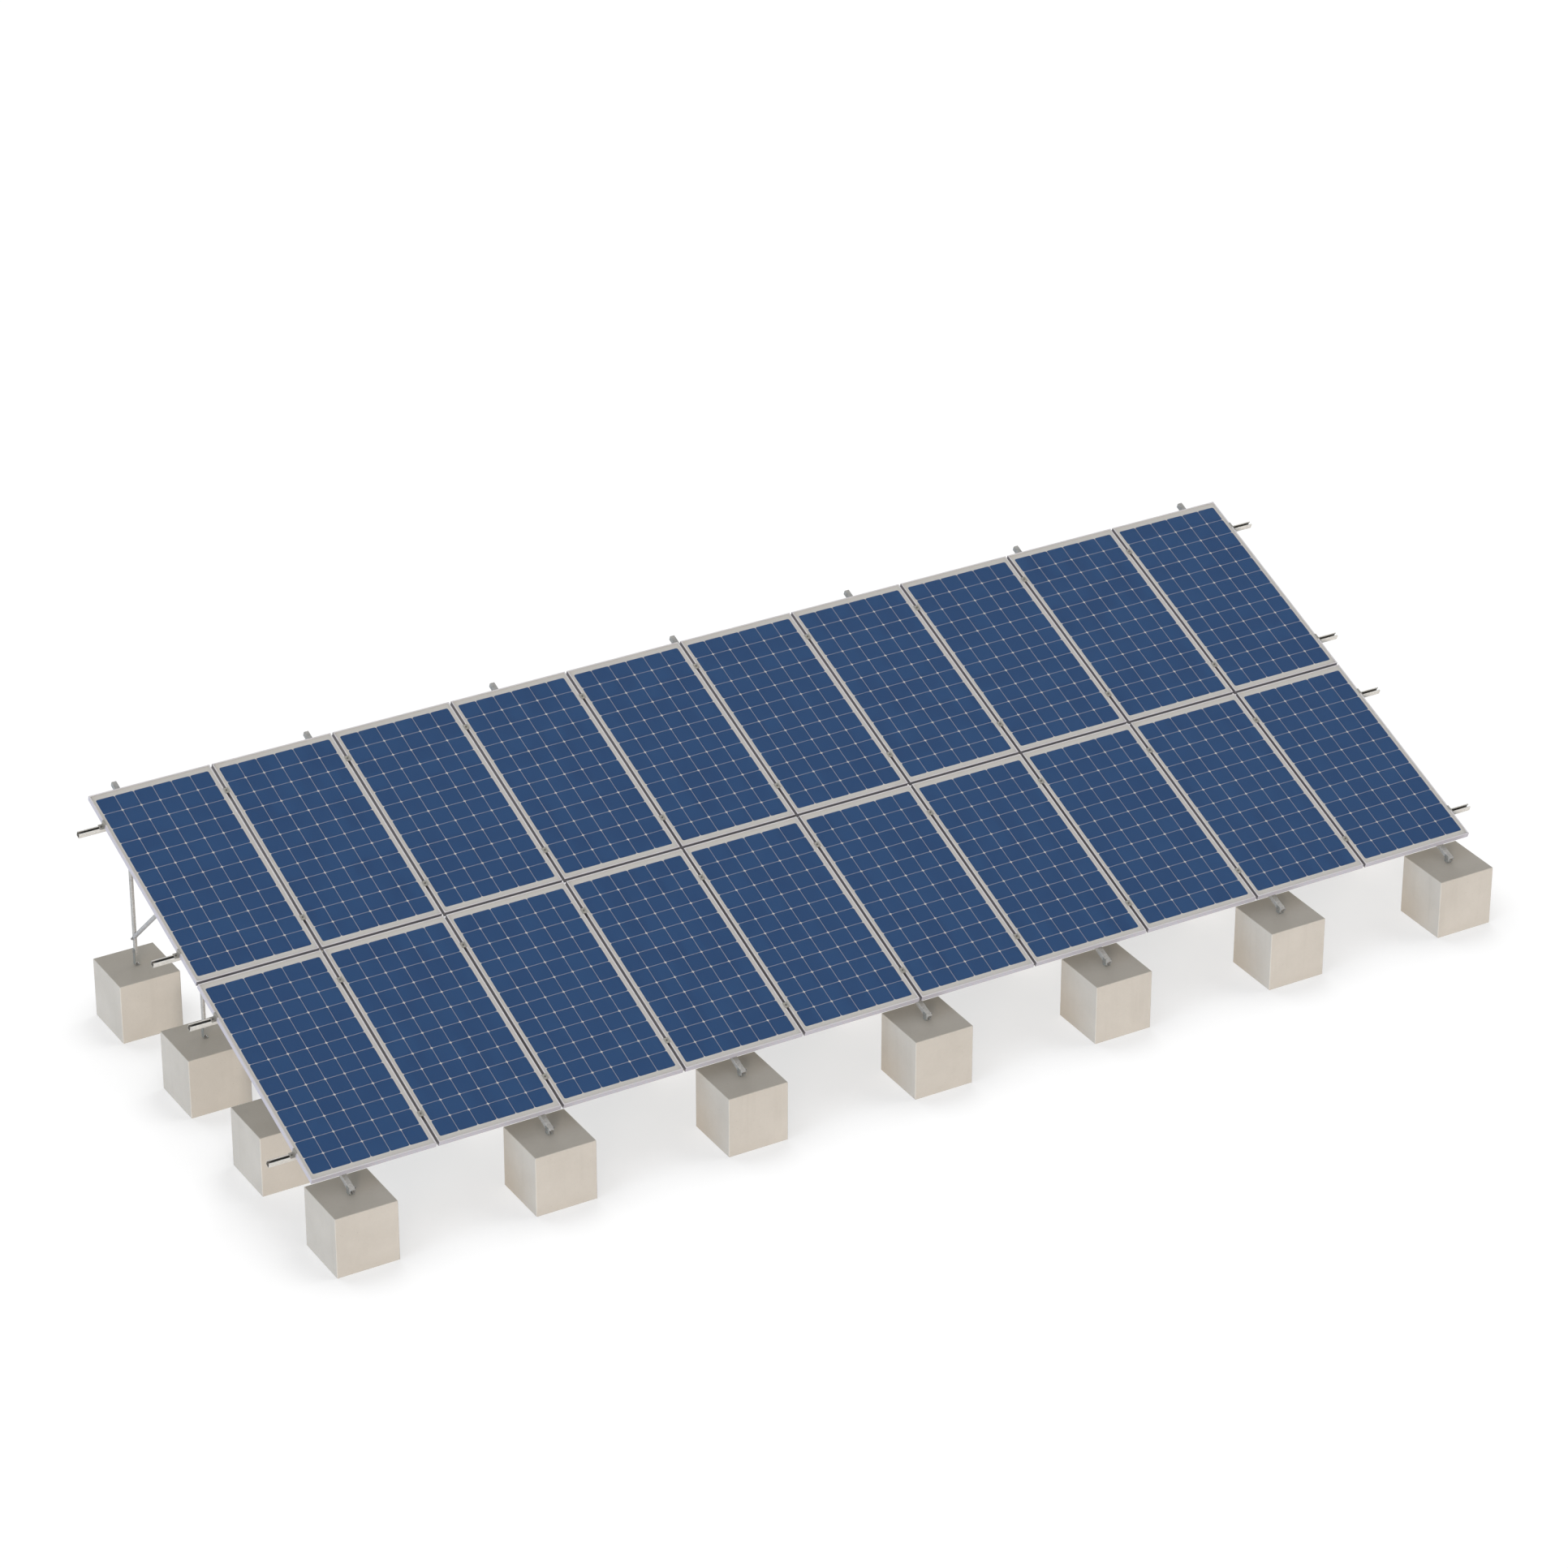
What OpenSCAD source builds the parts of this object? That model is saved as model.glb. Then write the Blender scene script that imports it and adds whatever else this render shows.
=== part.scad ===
// Ground-mounted solar array: two rows of portrait modules on four slotted rails,
// carried by seven sloping rafters on posts that stand on square concrete blocks.
// Millimetres. X runs along the rails, Y up the slope's plan direction, Z up.
// The origin is on the ground, under the middle of the outline.
// Slope frame: s up the slope, n square to it, from the underside of the rafters.

/* [Array] */
// Angle of the modules above the ground
tilt = 20; // [17:1:24]
// Height of the rafters' underside above the front blocks
front_gap = 22; // [21:1:40]
// Distance up the slope from the front blocks' middle to the modules' lower edge
array_setback = 98; // [80:1:140]
// Gap between neighbouring module columns
column_gap = 20; // [18:1:26]
// Gap between the two module rows
row_gap = 20; // [10:1:40]

/* [Modules] */
// Width of a module
module_w = 992; // [980:1:1000]
// Length of a module
module_l = 1956; // [1900:1:1990]
// Height of the module frame
frame_h = 40; // [35:1:50]
// Wall of the module frame's extrusion
frame_wall = 2; // [1.5:0.1:2.5]
// Width of the lip over the glass, and of the shelf under it
frame_lip = 11; // [9:0.5:13]
// Width of the frame's bottom flange
frame_flange = 28; // [20:1:35]
// Depth of the frame's closed chamber below the shelf
chamber_h = 13; // [9:1:16]
// Length of a mounting slot in the frame's bottom flange
flange_slot_l = 14; // [12:1:18]
// Width of a mounting slot
flange_slot_w = 9; // [7:0.5:10]
// Distance between the outer mounting slots of a long side
flange_slot_outer = 1300; // [1200:10:1400]
// Distance between the inner mounting slots of a long side
flange_slot_inner = 990; // [900:10:1100]
// Diameter of the earthing holes in the short sides
earth_hole_d = 5; // [4:0.5:6]
// Distance between the earthing holes
earth_hole_pitch = 720; // [600:10:800]
// Hairline left between the mitred frame lengths
mitre_gap = 0.2; // [0.1:0.1:0.6]
// Length of a corner key's legs
corner_key_l = 45; // [35:1:60]
// Play of a corner key in the frame's chamber
corner_key_play = 0.1; // [0.05:0.05:0.2]
// Thickness of the cover glass
glass_t = 4; // [3:0.5:5]
// Thickness of the cell layer
cell_t = 0.4; // [0.2:0.1:0.8]
// Thickness of the backsheet
backsheet_t = 0.6; // [0.4:0.1:1]
// Play between the glass edge and the frame wall
glass_play = 1; // [0.5:0.5:2]
// Width of a string of solar cells
cell_string_w = 151.5; // [148:0.5:152.5]
// Length of a string of solar cells
cell_string_l = 1849; // [1800:1:1855]
// Gap between neighbouring strings
cell_string_gap = 2.8; // [2:0.1:3.2]

/* [Junction boxes] */
// Width of a junction box
jbox_w = 110; // [90:1:140]
// Length of a junction box up the slope
jbox_l = 85; // [60:1:110]
// Depth of a junction box
jbox_h = 18; // [14:1:24]
// Thickness of its lid
jbox_lid_t = 4; // [3:0.5:6]
// Distance from the module's upper edge to the box's middle
jbox_inset = 120; // [100:1:140]
// Diameter of a cable gland
gland_d = 12; // [10:0.5:13]
// Length of a cable gland
gland_l = 22; // [16:1:30]
// Width across flats of a gland's collar
gland_collar_af = 14; // [13.5:0.5:15]
// Length of a gland's collar
gland_collar_l = 6; // [4:0.5:8]

/* [Strut channel] */
// Width of the rail and rafter channel
strut_w = 41; // [40:1:45]
// Depth of the rail and rafter channel
strut_h = 41; // [40:1:45]
// Wall of the channel
strut_wall = 2.5; // [2:0.25:3]
// Width of the channel's mouth
strut_slot = 22; // [22:0.5:24]
// Depth of the turned-in lips at the mouth
strut_lip = 7.5; // [6:0.5:9]
// Outside radius of the channel's bends
strut_bend = 4; // [3:0.5:5]

/* [Rails] */
// Length of rail past the outermost modules
rail_overhang = 205; // [150:5:300]
// Distance from the array's lower and upper edge to the outer rails
rail_inset_outer = 287; // [250:1:330]
// Distance from the middle gap to the inner rails
rail_inset_inner = 315; // [290:1:350]

/* [Rafters] */
// Length of a rafter
rafter_l = 4200; // [4150:10:4400]
// Length of rafter in front of the front blocks' middle
rafter_nose = 28; // [26:1:60]
// Distance between neighbouring rafters
trestle_pitch = 1600; // [1560:5:1600]
// How far the row of rafters sits to the right of the array's middle
trestle_shift = 27; // [15:1:40]

/* [Posts and braces] */
// Width of a post across the rafter
post_w = 21; // [20:0.5:21.5]
// Depth of a post along the rafter
post_d = 41; // [38:1:45]
// Clear height between a block and the foot of its post
post_foot_gap = 95; // [80:1:105]
// Height of the post's head above the rafter's underside
post_head = 30; // [28:0.5:32]
// Diameter of the brace tube
brace_d = 34; // [30:1:36]
// Thickness of the brace's flattened ends
brace_tongue_t = 5; // [4:0.5:6]
// Length of the brace's flattened ends past the bolt
brace_tongue_end = 17; // [16:1:24]
// Length of the brace's flattened ends from the bolt to the tube
brace_tongue_l = 48; // [46:1:70]
// Length over which the tube narrows to its flattened end
brace_taper = 40; // [30:1:60]
// Height of the brace's lower bolt above the block
brace_foot_h = 235; // [200:5:300]
// Plan distance between the brace's two bolts
brace_reach = 895; // [850:5:940]

/* [Feet] */
// Side of a concrete block
block_side = 500; // [450:5:540]
// Height of a concrete block
block_h = 500; // [400:10:560]
// Bevel along a block's edges
block_arris = 4; // [2:1:10]
// Distance between neighbouring block rows
block_pitch = 1230; // [1215:5:1240]
// Thickness of the folded feet
foot_t = 5; // [4:0.5:6]
// Width of the folded feet
foot_w = 40; // [36:1:50]
// Inside radius of the fold
foot_fold = 3; // [2:0.5:4]
// Length of the foot under the post, measured past the post's middle
foot_toe = 29; // [25:1:40]
// Height of a post foot
post_foot_h = 140; // [135:1:160]
// Height of the bolt in a post foot
foot_bolt_h = 120; // [115:1:122]
// Height of a front foot
front_foot_h = 62; // [60:1:75]
// Distance from a post's middle to its anchor stud
anchor_offset = 6; // [5:0.5:8]
// Depth of the anchor studs in the concrete
anchor_depth = 90; // [60:5:140]

/* [Fasteners] */
// Diameter of the structural bolts
bolt_d = 12; // [11:0.5:12]
// Width across flats of their heads and nuts
bolt_af = 19; // [17:0.5:19]
// Height of their heads
bolt_head_h = 7.5; // [6:0.5:8]
// Height of their nuts
nut_h = 10; // [8:0.5:11]
// Outside diameter of their washers
washer_d = 24; // [20:0.5:24]
// Thickness of their washers
washer_t = 2.5; // [2:0.1:3]
// Length of the bolts across a rafter
long_bolt_l = 65; // [62:1:75]
// Length of the bolts in rails and posts
short_bolt_l = 25; // [22:0.5:25.5]
// Thread left past an anchor nut
stud_tip = 3; // [2:0.5:4]
// Play of a structural bolt in its hole, across the diameter
bolt_play = 1.5; // [1:0.25:2]
// Radial gap between a thread and the nut or concrete round it
thread_gap = 0.1; // [0.05:0.05:0.2]
// Height of the cross bolts above the rafter's underside
cross_bolt_n = 18; // [17:0.5:19]

/* [Clamps] */
// Width of a middle clamp across the gap
mid_clamp_w = 38; // [34:1:44]
// Length of the clamps up the slope
clamp_l = 50; // [40:1:60]
// Thickness of the clamps
clamp_t = 4; // [3:0.5:5]
// Depth of the middle clamp's legs in the gap
clamp_leg_h = 12; // [8:1:20]
// Wall of the middle clamp's legs
clamp_leg_t = 2.5; // [2:0.5:3.5]
// Play between clamp and module frame
clamp_play = 0.5; // [0.25:0.25:1]
// Reach of an end clamp over the module frame
end_clamp_lip = 10; // [7:1:12]
// Width of an end clamp's foot on the rail
end_clamp_foot = 36; // [34:1:44]
// Diameter of the clamp bolts
clamp_bolt_d = 8; // [6:0.5:8]
// Width across flats of their heads
clamp_bolt_af = 13; // [12:0.5:14]
// Height of their heads
clamp_bolt_head_h = 5.3; // [4:0.1:6]
// Length of thread past the channel nut
clamp_bolt_tip = 4; // [2:0.5:6]
// Length of a channel nut across the rail
channel_nut_l = 34.5; // [33:0.5:35]
// Width of a channel nut along the rail
channel_nut_w = 19; // [17:0.5:21]
// Thickness of a channel nut
channel_nut_t = 9; // [7:0.5:10]

/* [Hidden] */
$fn = 36;
columns = 10;
rows = 2;
trestles = 7;
block_rows = 4;
rails = 4;
strings = 6;
hex_sides = 6;

// Extra length of a cutting tool past the face that it cuts
cut = 1;
module_pitch_x = module_w + column_gap;
module_pitch_s = module_l + row_gap;
array_w = columns * module_pitch_x - column_gap;
array_l = rows * module_pitch_s - row_gap;
rail_base = strut_h;
rail_top = rail_base + strut_h;
module_top = rail_top + frame_h;
rail_l = array_w + 2 * rail_overhang;
front_y = -(block_rows - 1) / 2 * block_pitch;
pivot_z = block_h + front_gap;
hole_d = bolt_d + bolt_play;
nut_hole_d = bolt_d + 2 * thread_gap;
pocket_h = glass_t + cell_t + backsheet_t;
lip_t = frame_wall * 0.75;
shelf_top = frame_h - lip_t - pocket_h;
string_pitch = cell_string_w + cell_string_gap;
glass_w = module_w - 2 * (frame_wall + glass_play);
glass_l = module_l - 2 * (frame_wall + glass_play);
nut_seat = rail_top - strut_lip;
nut_base = nut_seat - channel_nut_t;
clamp_head_n = module_top + clamp_t;
end_foot_n = rail_top + clamp_t;
clamp_hole_d = clamp_bolt_d + 1;
end_bolt_x = array_w / 2 + clamp_play + end_clamp_foot / 2 + clamp_t / 2;
anchor_out = foot_t + washer_t + nut_h + stud_tip;
brace_y = block_y(block_rows - 1) - brace_reach;
brace_foot_z = block_h + brace_foot_h;
brace_rise = cross_z(brace_y) - brace_foot_z;
brace_l = norm([brace_reach, brace_rise]);
brace_angle = atan2(brace_rise, brace_reach);
brace_x = -(post_w + strut_w) / 4 - brace_tongue_t / 2;
brace_low_offset = -(post_w + brace_tongue_t) / 2 - brace_x;
brace_high_offset = -(strut_w + brace_tongue_t) / 2 - brace_x;

function trestle_x(k) = trestle_shift + (k - (trestles - 1) / 2) * trestle_pitch;
function block_y(r) = front_y + r * block_pitch;
function anchor_x(r) = r == 0 ? 0 : anchor_offset;
function column_x(i) = -array_w / 2 + i * module_pitch_x;
function row_s(j) = array_setback + j * module_pitch_s;
function gap_x(i) = column_x(i) - column_gap / 2;
// Height of the rafter's underside over a place on the ground
function underside_z(y) = pivot_z + (y - front_y) * tan(tilt);
// Height of the cross bolt at that place, and its distance up the slope
function cross_z(y) = underside_z(y) + cross_bolt_n / cos(tilt);
function cross_s(y) = (y - front_y) * cos(tilt) + (cross_z(y) - pivot_z) * sin(tilt);
rail_s = [
    array_setback + rail_inset_outer,
    array_setback + module_l - rail_inset_inner,
    array_setback + module_pitch_s + rail_inset_inner,
    array_setback + array_l - rail_inset_outer
];
cross_y = concat([for (r = [0:block_rows - 1]) block_y(r)], [brace_y]);

// Moves children from the slope frame to the ground frame
module on_slope() {
    translate([0, front_y, pivot_z]) rotate([tilt, 0, 0]) children();
}

// Rectangle with round corners, standing on the X axis
module soft_rect(w, h, r) {
    translate([-w / 2 + r, 0]) square([w - 2 * r, h]);
    translate([-w / 2, r]) square([w, h - 2 * r]);
    for (x = [-w / 2 + r, w / 2 - r], y = [r, h - r]) translate([x, y]) circle(r = r);
}

// Section of slotted channel: closed back on the X axis, mouth upwards
module strut_section(w, h) {
    difference() {
        soft_rect(w, h, strut_bend);
        translate([0, strut_wall]) soft_rect(w - 2 * strut_wall, h - 2 * strut_wall, strut_bend - strut_wall);
        translate([-strut_slot / 2, h - 2 * strut_wall]) square([strut_slot, 3 * strut_wall]);
    }
    for (x = [-strut_slot / 2 - strut_wall, strut_slot / 2])
        translate([x, h - strut_lip]) square([strut_wall, strut_lip - strut_wall / 2]);
}

module hex_prism(af, h) {
    cylinder(d = af / cos(180 / hex_sides), h = h, $fn = hex_sides);
}

// Bolt along +Z, its head below the origin
module bolt(d, af, head_h, l) {
    translate([0, 0, -head_h]) hex_prism(af, head_h);
    cylinder(d = d, h = l);
}

module nut() {
    difference() {
        hex_prism(bolt_af, nut_h);
        translate([0, 0, -cut]) cylinder(d = nut_hole_d, h = nut_h + 2 * cut);
    }
}

module washer() {
    difference() {
        cylinder(d = washer_d, h = washer_t);
        translate([0, 0, -cut]) cylinder(d = nut_hole_d, h = washer_t + 2 * cut);
    }
}

// The places of every structural fastener. Children stand with +Z out of the face
// that the nut bears on; gap is the thickness held between the bolt's head and that face.

// Long bolts: heads on the left, through both rafter walls
module at_long_bolts(nut_side) {
    for (k = [0:trestles - 1], p = [0:len(cross_y) - 1]) {
        outer = p == 0 ? foot_t : p == block_rows ? brace_tongue_t : 0;
        x = nut_side ? strut_w / 2 : -strut_w / 2 - outer;
        translate([trestle_x(k) + x, cross_y[p], cross_z(cross_y[p])]) rotate([0, 90, 0]) children();
    }
}

// Short bolts in the post feet: heads on the left, nuts inside the post
module at_foot_bolts(nut_side) {
    for (k = [0:trestles - 1], r = [1:block_rows - 1]) {
        x = nut_side ? -post_w / 2 + strut_wall : -post_w / 2 - foot_t;
        translate([trestle_x(k) + x, block_y(r), block_h + foot_bolt_h]) rotate([0, 90, 0]) children();
    }
}

// Short bolts at the braces' lower ends: heads inside the post, nuts on the left
module at_brace_bolts(nut_side) {
    for (k = [0:trestles - 1]) {
        x = nut_side ? -post_w / 2 - brace_tongue_t : -post_w / 2 + strut_wall;
        translate([trestle_x(k) + x, block_y(block_rows - 1), brace_foot_z]) rotate([0, -90, 0]) children();
    }
}

// Short bolts that hold the rails to the rafters: heads in the rail, nuts in the rafter
module at_rail_bolts(nut_side) {
    n = nut_side ? rail_base - strut_wall : rail_base + strut_wall;
    on_slope() for (k = [0:trestles - 1], s = rail_s)
        translate([trestle_x(k), s, n]) rotate([180, 0, 0]) children();
}

// Anchor studs: washers and nuts on the feet
module at_anchors(h) {
    for (k = [0:trestles - 1], r = [0:block_rows - 1])
        translate([trestle_x(k) + anchor_x(r), block_y(r), block_h + h]) children();
}

module short_bolts() {
    color("dimgray") {
        at_foot_bolts(false) bolt(bolt_d, bolt_af, bolt_head_h, short_bolt_l);
        at_brace_bolts(false) bolt(bolt_d, bolt_af, bolt_head_h, short_bolt_l);
        at_rail_bolts(false) bolt(bolt_d, bolt_af, bolt_head_h, short_bolt_l);
    }
}

module long_bolts() {
    color("dimgray") at_long_bolts(false) bolt(bolt_d, bolt_af, bolt_head_h, long_bolt_l);
}

module flat_washers() {
    color("gray") {
        at_long_bolts(true) washer();
        at_foot_bolts(true) washer();
        at_brace_bolts(true) washer();
        at_rail_bolts(true) washer();
        at_anchors(foot_t) washer();
    }
}

module hex_nuts() {
    color("dimgray") {
        at_long_bolts(true) translate([0, 0, washer_t]) nut();
        at_foot_bolts(true) translate([0, 0, washer_t]) nut();
        at_brace_bolts(true) translate([0, 0, washer_t]) nut();
        at_rail_bolts(true) translate([0, 0, washer_t]) nut();
        at_anchors(foot_t + washer_t) nut();
    }
}

module anchor_studs() {
    color("silver") at_anchors(-anchor_depth) cylinder(d = bolt_d, h = anchor_depth + anchor_out);
}

// Outline of a block seen square on, its corners bevelled
module block_outline(w, h) {
    b = block_arris;
    polygon([[b, 0], [w - b, 0], [w, b], [w, h - b], [w - b, h], [b, h], [0, h - b], [0, b]]);
}

module concrete_block(r) {
    difference() {
        intersection() {
            translate([-block_side / 2, -block_side / 2, 0])
                linear_extrude(block_h) block_outline(block_side, block_side);
            translate([-block_side / 2, block_side / 2, 0]) rotate([90, 0, 0])
                linear_extrude(block_side) block_outline(block_side, block_h);
            translate([-block_side / 2, -block_side / 2, 0]) rotate([90, 0, 90])
                linear_extrude(block_side) block_outline(block_side, block_h);
        }
        translate([anchor_x(r), 0, block_h - anchor_depth]) cylinder(d = nut_hole_d, h = anchor_depth + cut);
    }
}

module concrete_blocks_row(r) {
    color("tan") for (k = [0:trestles - 1])
        translate([trestle_x(k), block_y(r), 0]) concrete_block(r);
}

// Folded foot on a block in row r. Its upright stands on the left, its outer face at x = -left.
module foot(r, left, h, bolt_h) {
    outer = foot_fold + foot_t;
    difference() {
        union() {
            rotate([90, 0, 0]) linear_extrude(foot_w, center = true) {
                translate([-left, outer]) square([foot_t, h - outer]);
                translate([outer - left, 0]) square([left - outer + foot_toe - foot_w / 2, foot_t]);
                translate([outer - left, outer]) difference() {
                    circle(r = outer);
                    circle(r = foot_fold);
                    translate([0, -outer - cut]) square([outer + cut, 2 * (outer + cut)]);
                    translate([-outer - cut, 0]) square([2 * (outer + cut), outer + cut]);
                }
            }
            translate([foot_toe - foot_w / 2, 0, 0]) cylinder(d = foot_w, h = foot_t);
        }
        translate([anchor_x(r), 0, -cut]) cylinder(d = hole_d, h = foot_t + 2 * cut);
        translate([-left - cut, 0, bolt_h]) rotate([0, 90, 0]) cylinder(d = hole_d, h = foot_t + 2 * cut);
    }
}

module front_feet() {
    color("lightgray") for (k = [0:trestles - 1])
        translate([trestle_x(k), block_y(0), block_h])
            foot(0, strut_w / 2 + foot_t, front_foot_h, cross_z(block_y(0)) - block_h);
}

module post_feet() {
    color("lightgray") for (k = [0:trestles - 1], r = [1:block_rows - 1])
        translate([trestle_x(k), block_y(r), block_h])
            foot(r, post_w / 2 + foot_t, post_foot_h, foot_bolt_h);
}

// Post of shallow channel: closed side left, mouth right, head in the rafter's mouth
module post(r) {
    foot_z = block_h + post_foot_gap;
    head_z = underside_z(block_y(r)) + post_head;
    bolts = concat([block_h + foot_bolt_h, cross_z(block_y(r))], r == block_rows - 1 ? [brace_foot_z] : []);
    difference() {
        translate([-post_w / 2, 0, foot_z]) rotate([0, 0, -90])
            linear_extrude(head_z - foot_z) strut_section(post_d, post_w);
        for (z = bolts)
            translate([-post_w / 2 - cut, 0, z]) rotate([0, 90, 0])
                cylinder(d = hole_d, h = strut_wall + 2 * cut);
    }
}

module posts_row(r) {
    color("lightgray") for (k = [0:trestles - 1])
        translate([trestle_x(k), block_y(r), 0]) post(r);
}

// Side view of a brace along +X from its lower bolt: flattened ends set to one side
module brace_side() {
    t = brace_tongue_t / 2;
    r = brace_d / 2;
    e = brace_tongue_end;
    a = brace_tongue_l;
    b = brace_tongue_l + brace_taper;
    polygon([
        [-e, brace_low_offset - t], [a, brace_low_offset - t], [b, -r],
        [brace_l - b, -r], [brace_l - a, brace_high_offset - t], [brace_l + e, brace_high_offset - t],
        [brace_l + e, brace_high_offset + t], [brace_l - a, brace_high_offset + t], [brace_l - b, r],
        [b, r], [a, brace_low_offset + t], [-e, brace_low_offset + t]
    ]);
}

module brace_plan() {
    translate([0, -brace_d / 2]) square([brace_l, brace_d]);
    for (x = [0, brace_l]) translate([x, 0]) circle(d = brace_d);
}

module brace() {
    difference() {
        intersection() {
            translate([-brace_tongue_end - cut, 0, 0]) rotate([0, 90, 0])
                cylinder(d = brace_d, h = brace_l + 2 * (brace_tongue_end + cut));
            rotate([90, 0, 0]) linear_extrude(2 * brace_d, center = true) brace_side();
            linear_extrude(2 * brace_d, center = true) brace_plan();
        }
        for (x = [0, brace_l]) translate([x, 0, -brace_d]) cylinder(d = hole_d, h = 2 * brace_d);
    }
}

// The brace rises forwards from the rear post, and its side view faces along the rails
module braces() {
    color("silver") for (k = [0:trestles - 1])
        translate([trestle_x(k) + brace_x, block_y(block_rows - 1), brace_foot_z])
            rotate([180 - brace_angle, 0, 0]) rotate([0, 0, 90]) rotate([90, 0, 0]) brace();
}

// Rafter: closed back up, mouth down, cross-drilled for posts and feet
module rafter(k) {
    color("lightgray") on_slope() translate([trestle_x(k), 0, 0]) difference() {
        translate([0, rafter_l - rafter_nose, strut_h]) rotate([90, 0, 0])
            linear_extrude(rafter_l) rotate([0, 0, 180]) strut_section(strut_w, strut_h);
        for (y = cross_y)
            translate([-strut_w / 2 - cut, cross_s(y), cross_bolt_n]) rotate([0, 90, 0])
                cylinder(d = hole_d, h = strut_w + 2 * cut);
        for (s = rail_s)
            translate([0, s, strut_h - strut_wall - cut]) cylinder(d = hole_d, h = strut_wall + 2 * cut);
    }
}

// Rail: closed back on the rafters, mouth up to the modules
module rail(q) {
    color("lightgray") on_slope() translate([0, rail_s[q], rail_base]) difference() {
        translate([-rail_l / 2, 0, 0]) rotate([90, 0, 90])
            linear_extrude(rail_l) strut_section(strut_w, strut_h);
        for (k = [0:trestles - 1])
            translate([trestle_x(k), 0, -cut]) cylinder(d = hole_d, h = strut_wall + 2 * cut);
    }
}

// Section of the module frame: outer wall on the Y axis, glass pocket at the top
module frame_section() {
    floor_y = shelf_top - chamber_h;
    difference() {
        union() {
            square([frame_wall, frame_h]);
            translate([0, frame_h - lip_t]) square([frame_lip, lip_t]);
            translate([0, floor_y]) square([frame_lip, chamber_h]);
            square([frame_flange, lip_t]);
        }
        translate([frame_wall, floor_y + lip_t])
            square([frame_lip - frame_wall - lip_t, chamber_h - 2 * lip_t]);
    }
}

// One length of frame along +X with mitred ends, its outer face at y = 0. Its children are
// the outlines of the holes in the bottom flange, measured from the middle of the length.
module frame_length(l) {
    reach = 2 * frame_flange;
    difference() {
        rotate([90, 0, 90]) linear_extrude(l) frame_section();
        translate([l / 2, (frame_wall + frame_flange) / 2, -cut]) linear_extrude(lip_t + 2 * cut) children();
        translate([mitre_gap / 2, 0, -cut]) rotate([0, 0, 45])
            translate([-reach, 0, 0]) cube([3 * reach, reach, frame_h + 2 * cut]);
        translate([l - mitre_gap / 2, 0, -cut]) rotate([0, 0, 45])
            translate([0, -reach, 0]) cube([reach, 3 * reach, frame_h + 2 * cut]);
    }
}

module short_side() {
    frame_length(module_w)
        for (x = [-earth_hole_pitch / 2, earth_hole_pitch / 2]) translate([x, 0]) circle(d = earth_hole_d);
}

module long_side() {
    flat = flange_slot_l - flange_slot_w;
    frame_length(module_l)
        for (x = [-flange_slot_outer, -flange_slot_inner, flange_slot_inner, flange_slot_outer])
            translate([x / 2, 0]) {
                square([flat, flange_slot_w], center = true);
                for (end = [-flat / 2, flat / 2]) translate([end, 0]) circle(d = flange_slot_w);
            }
}

module module_frame(i, j) {
    color("gainsboro") on_slope() translate([column_x(i), row_s(j), rail_top]) {
        short_side();
        translate([module_w, 0, 0]) rotate([0, 0, 90]) long_side();
        translate([module_w, module_l, 0]) rotate([0, 0, 180]) short_side();
        translate([0, module_l, 0]) rotate([0, 0, -90]) long_side();
    }
}

// Corner key: two legs pressed into the chambers of the lengths that meet at a corner
module frame_corner_key() {
    a = frame_wall + corner_key_play;
    b = frame_lip - lip_t - corner_key_play;
    l = corner_key_l;
    translate([0, 0, shelf_top - chamber_h + lip_t + corner_key_play])
        linear_extrude(chamber_h - 2 * (lip_t + corner_key_play))
            polygon([[a, a], [l, a], [l, b], [b, b], [b, l], [a, l]]);
}

module frame_corner_keys() {
    color("gray") for (j = [0:rows - 1])
        at_modules(j) for (x = [0, 1], y = [0, 1]) mirror([x, 0, 0]) mirror([0, y, 0])
            translate([-module_w / 2, -module_l / 2, 0]) frame_corner_key();
}

// Moves children to the middle of each module, on the rails' top
module at_modules(j) {
    on_slope() for (i = [0:columns - 1])
        translate([column_x(i) + module_w / 2, row_s(j) + module_l / 2, rail_top]) children();
}

module backsheets() {
    color("white") for (j = [0:rows - 1])
        at_modules(j) translate([-glass_w / 2, -glass_l / 2, shelf_top])
            cube([glass_w, glass_l, backsheet_t]);
}

module glass_panes() {
    color("lightblue", 0.3) for (j = [0:rows - 1])
        at_modules(j) translate([-glass_w / 2, -glass_l / 2, frame_h - lip_t - glass_t])
            cube([glass_w, glass_l, glass_t]);
}

// The cells of a module are soldered into strings that run up the slope
module cell_strings(j) {
    color("steelblue") at_modules(j) for (a = [0:strings - 1])
        translate([(a + 0.5 - strings / 2) * string_pitch, 0, shelf_top + backsheet_t]) linear_extrude(cell_t)
            square([cell_string_w, cell_string_l], center = true);
}

// Junction boxes hang under the backsheets, near the modules' upper edge
module at_junction_boxes(drop) {
    for (j = [0:rows - 1])
        at_modules(j) translate([0, module_l / 2 - jbox_inset, shelf_top - drop]) children();
}

module junction_boxes() {
    color("dimgray") at_junction_boxes(jbox_h)
        linear_extrude(jbox_h) translate([0, -jbox_l / 2]) soft_rect(jbox_w, jbox_l, jbox_lid_t);
}

module junction_box_lids() {
    t = jbox_lid_t;
    color("black") at_junction_boxes(jbox_h + t) linear_extrude(t)
        translate([0, t - jbox_l / 2]) soft_rect(jbox_w - 2 * t, jbox_l - 2 * t, t);
}

module cable_glands() {
    color("black") at_junction_boxes(jbox_h / 2) for (x = [-jbox_w / 4, jbox_w / 4])
        translate([x, -jbox_l / 2, 0]) rotate([90, 0, 0]) {
            cylinder(d = gland_d, h = gland_l);
            hex_prism(gland_collar_af, gland_collar_l);
        }
}

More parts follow.
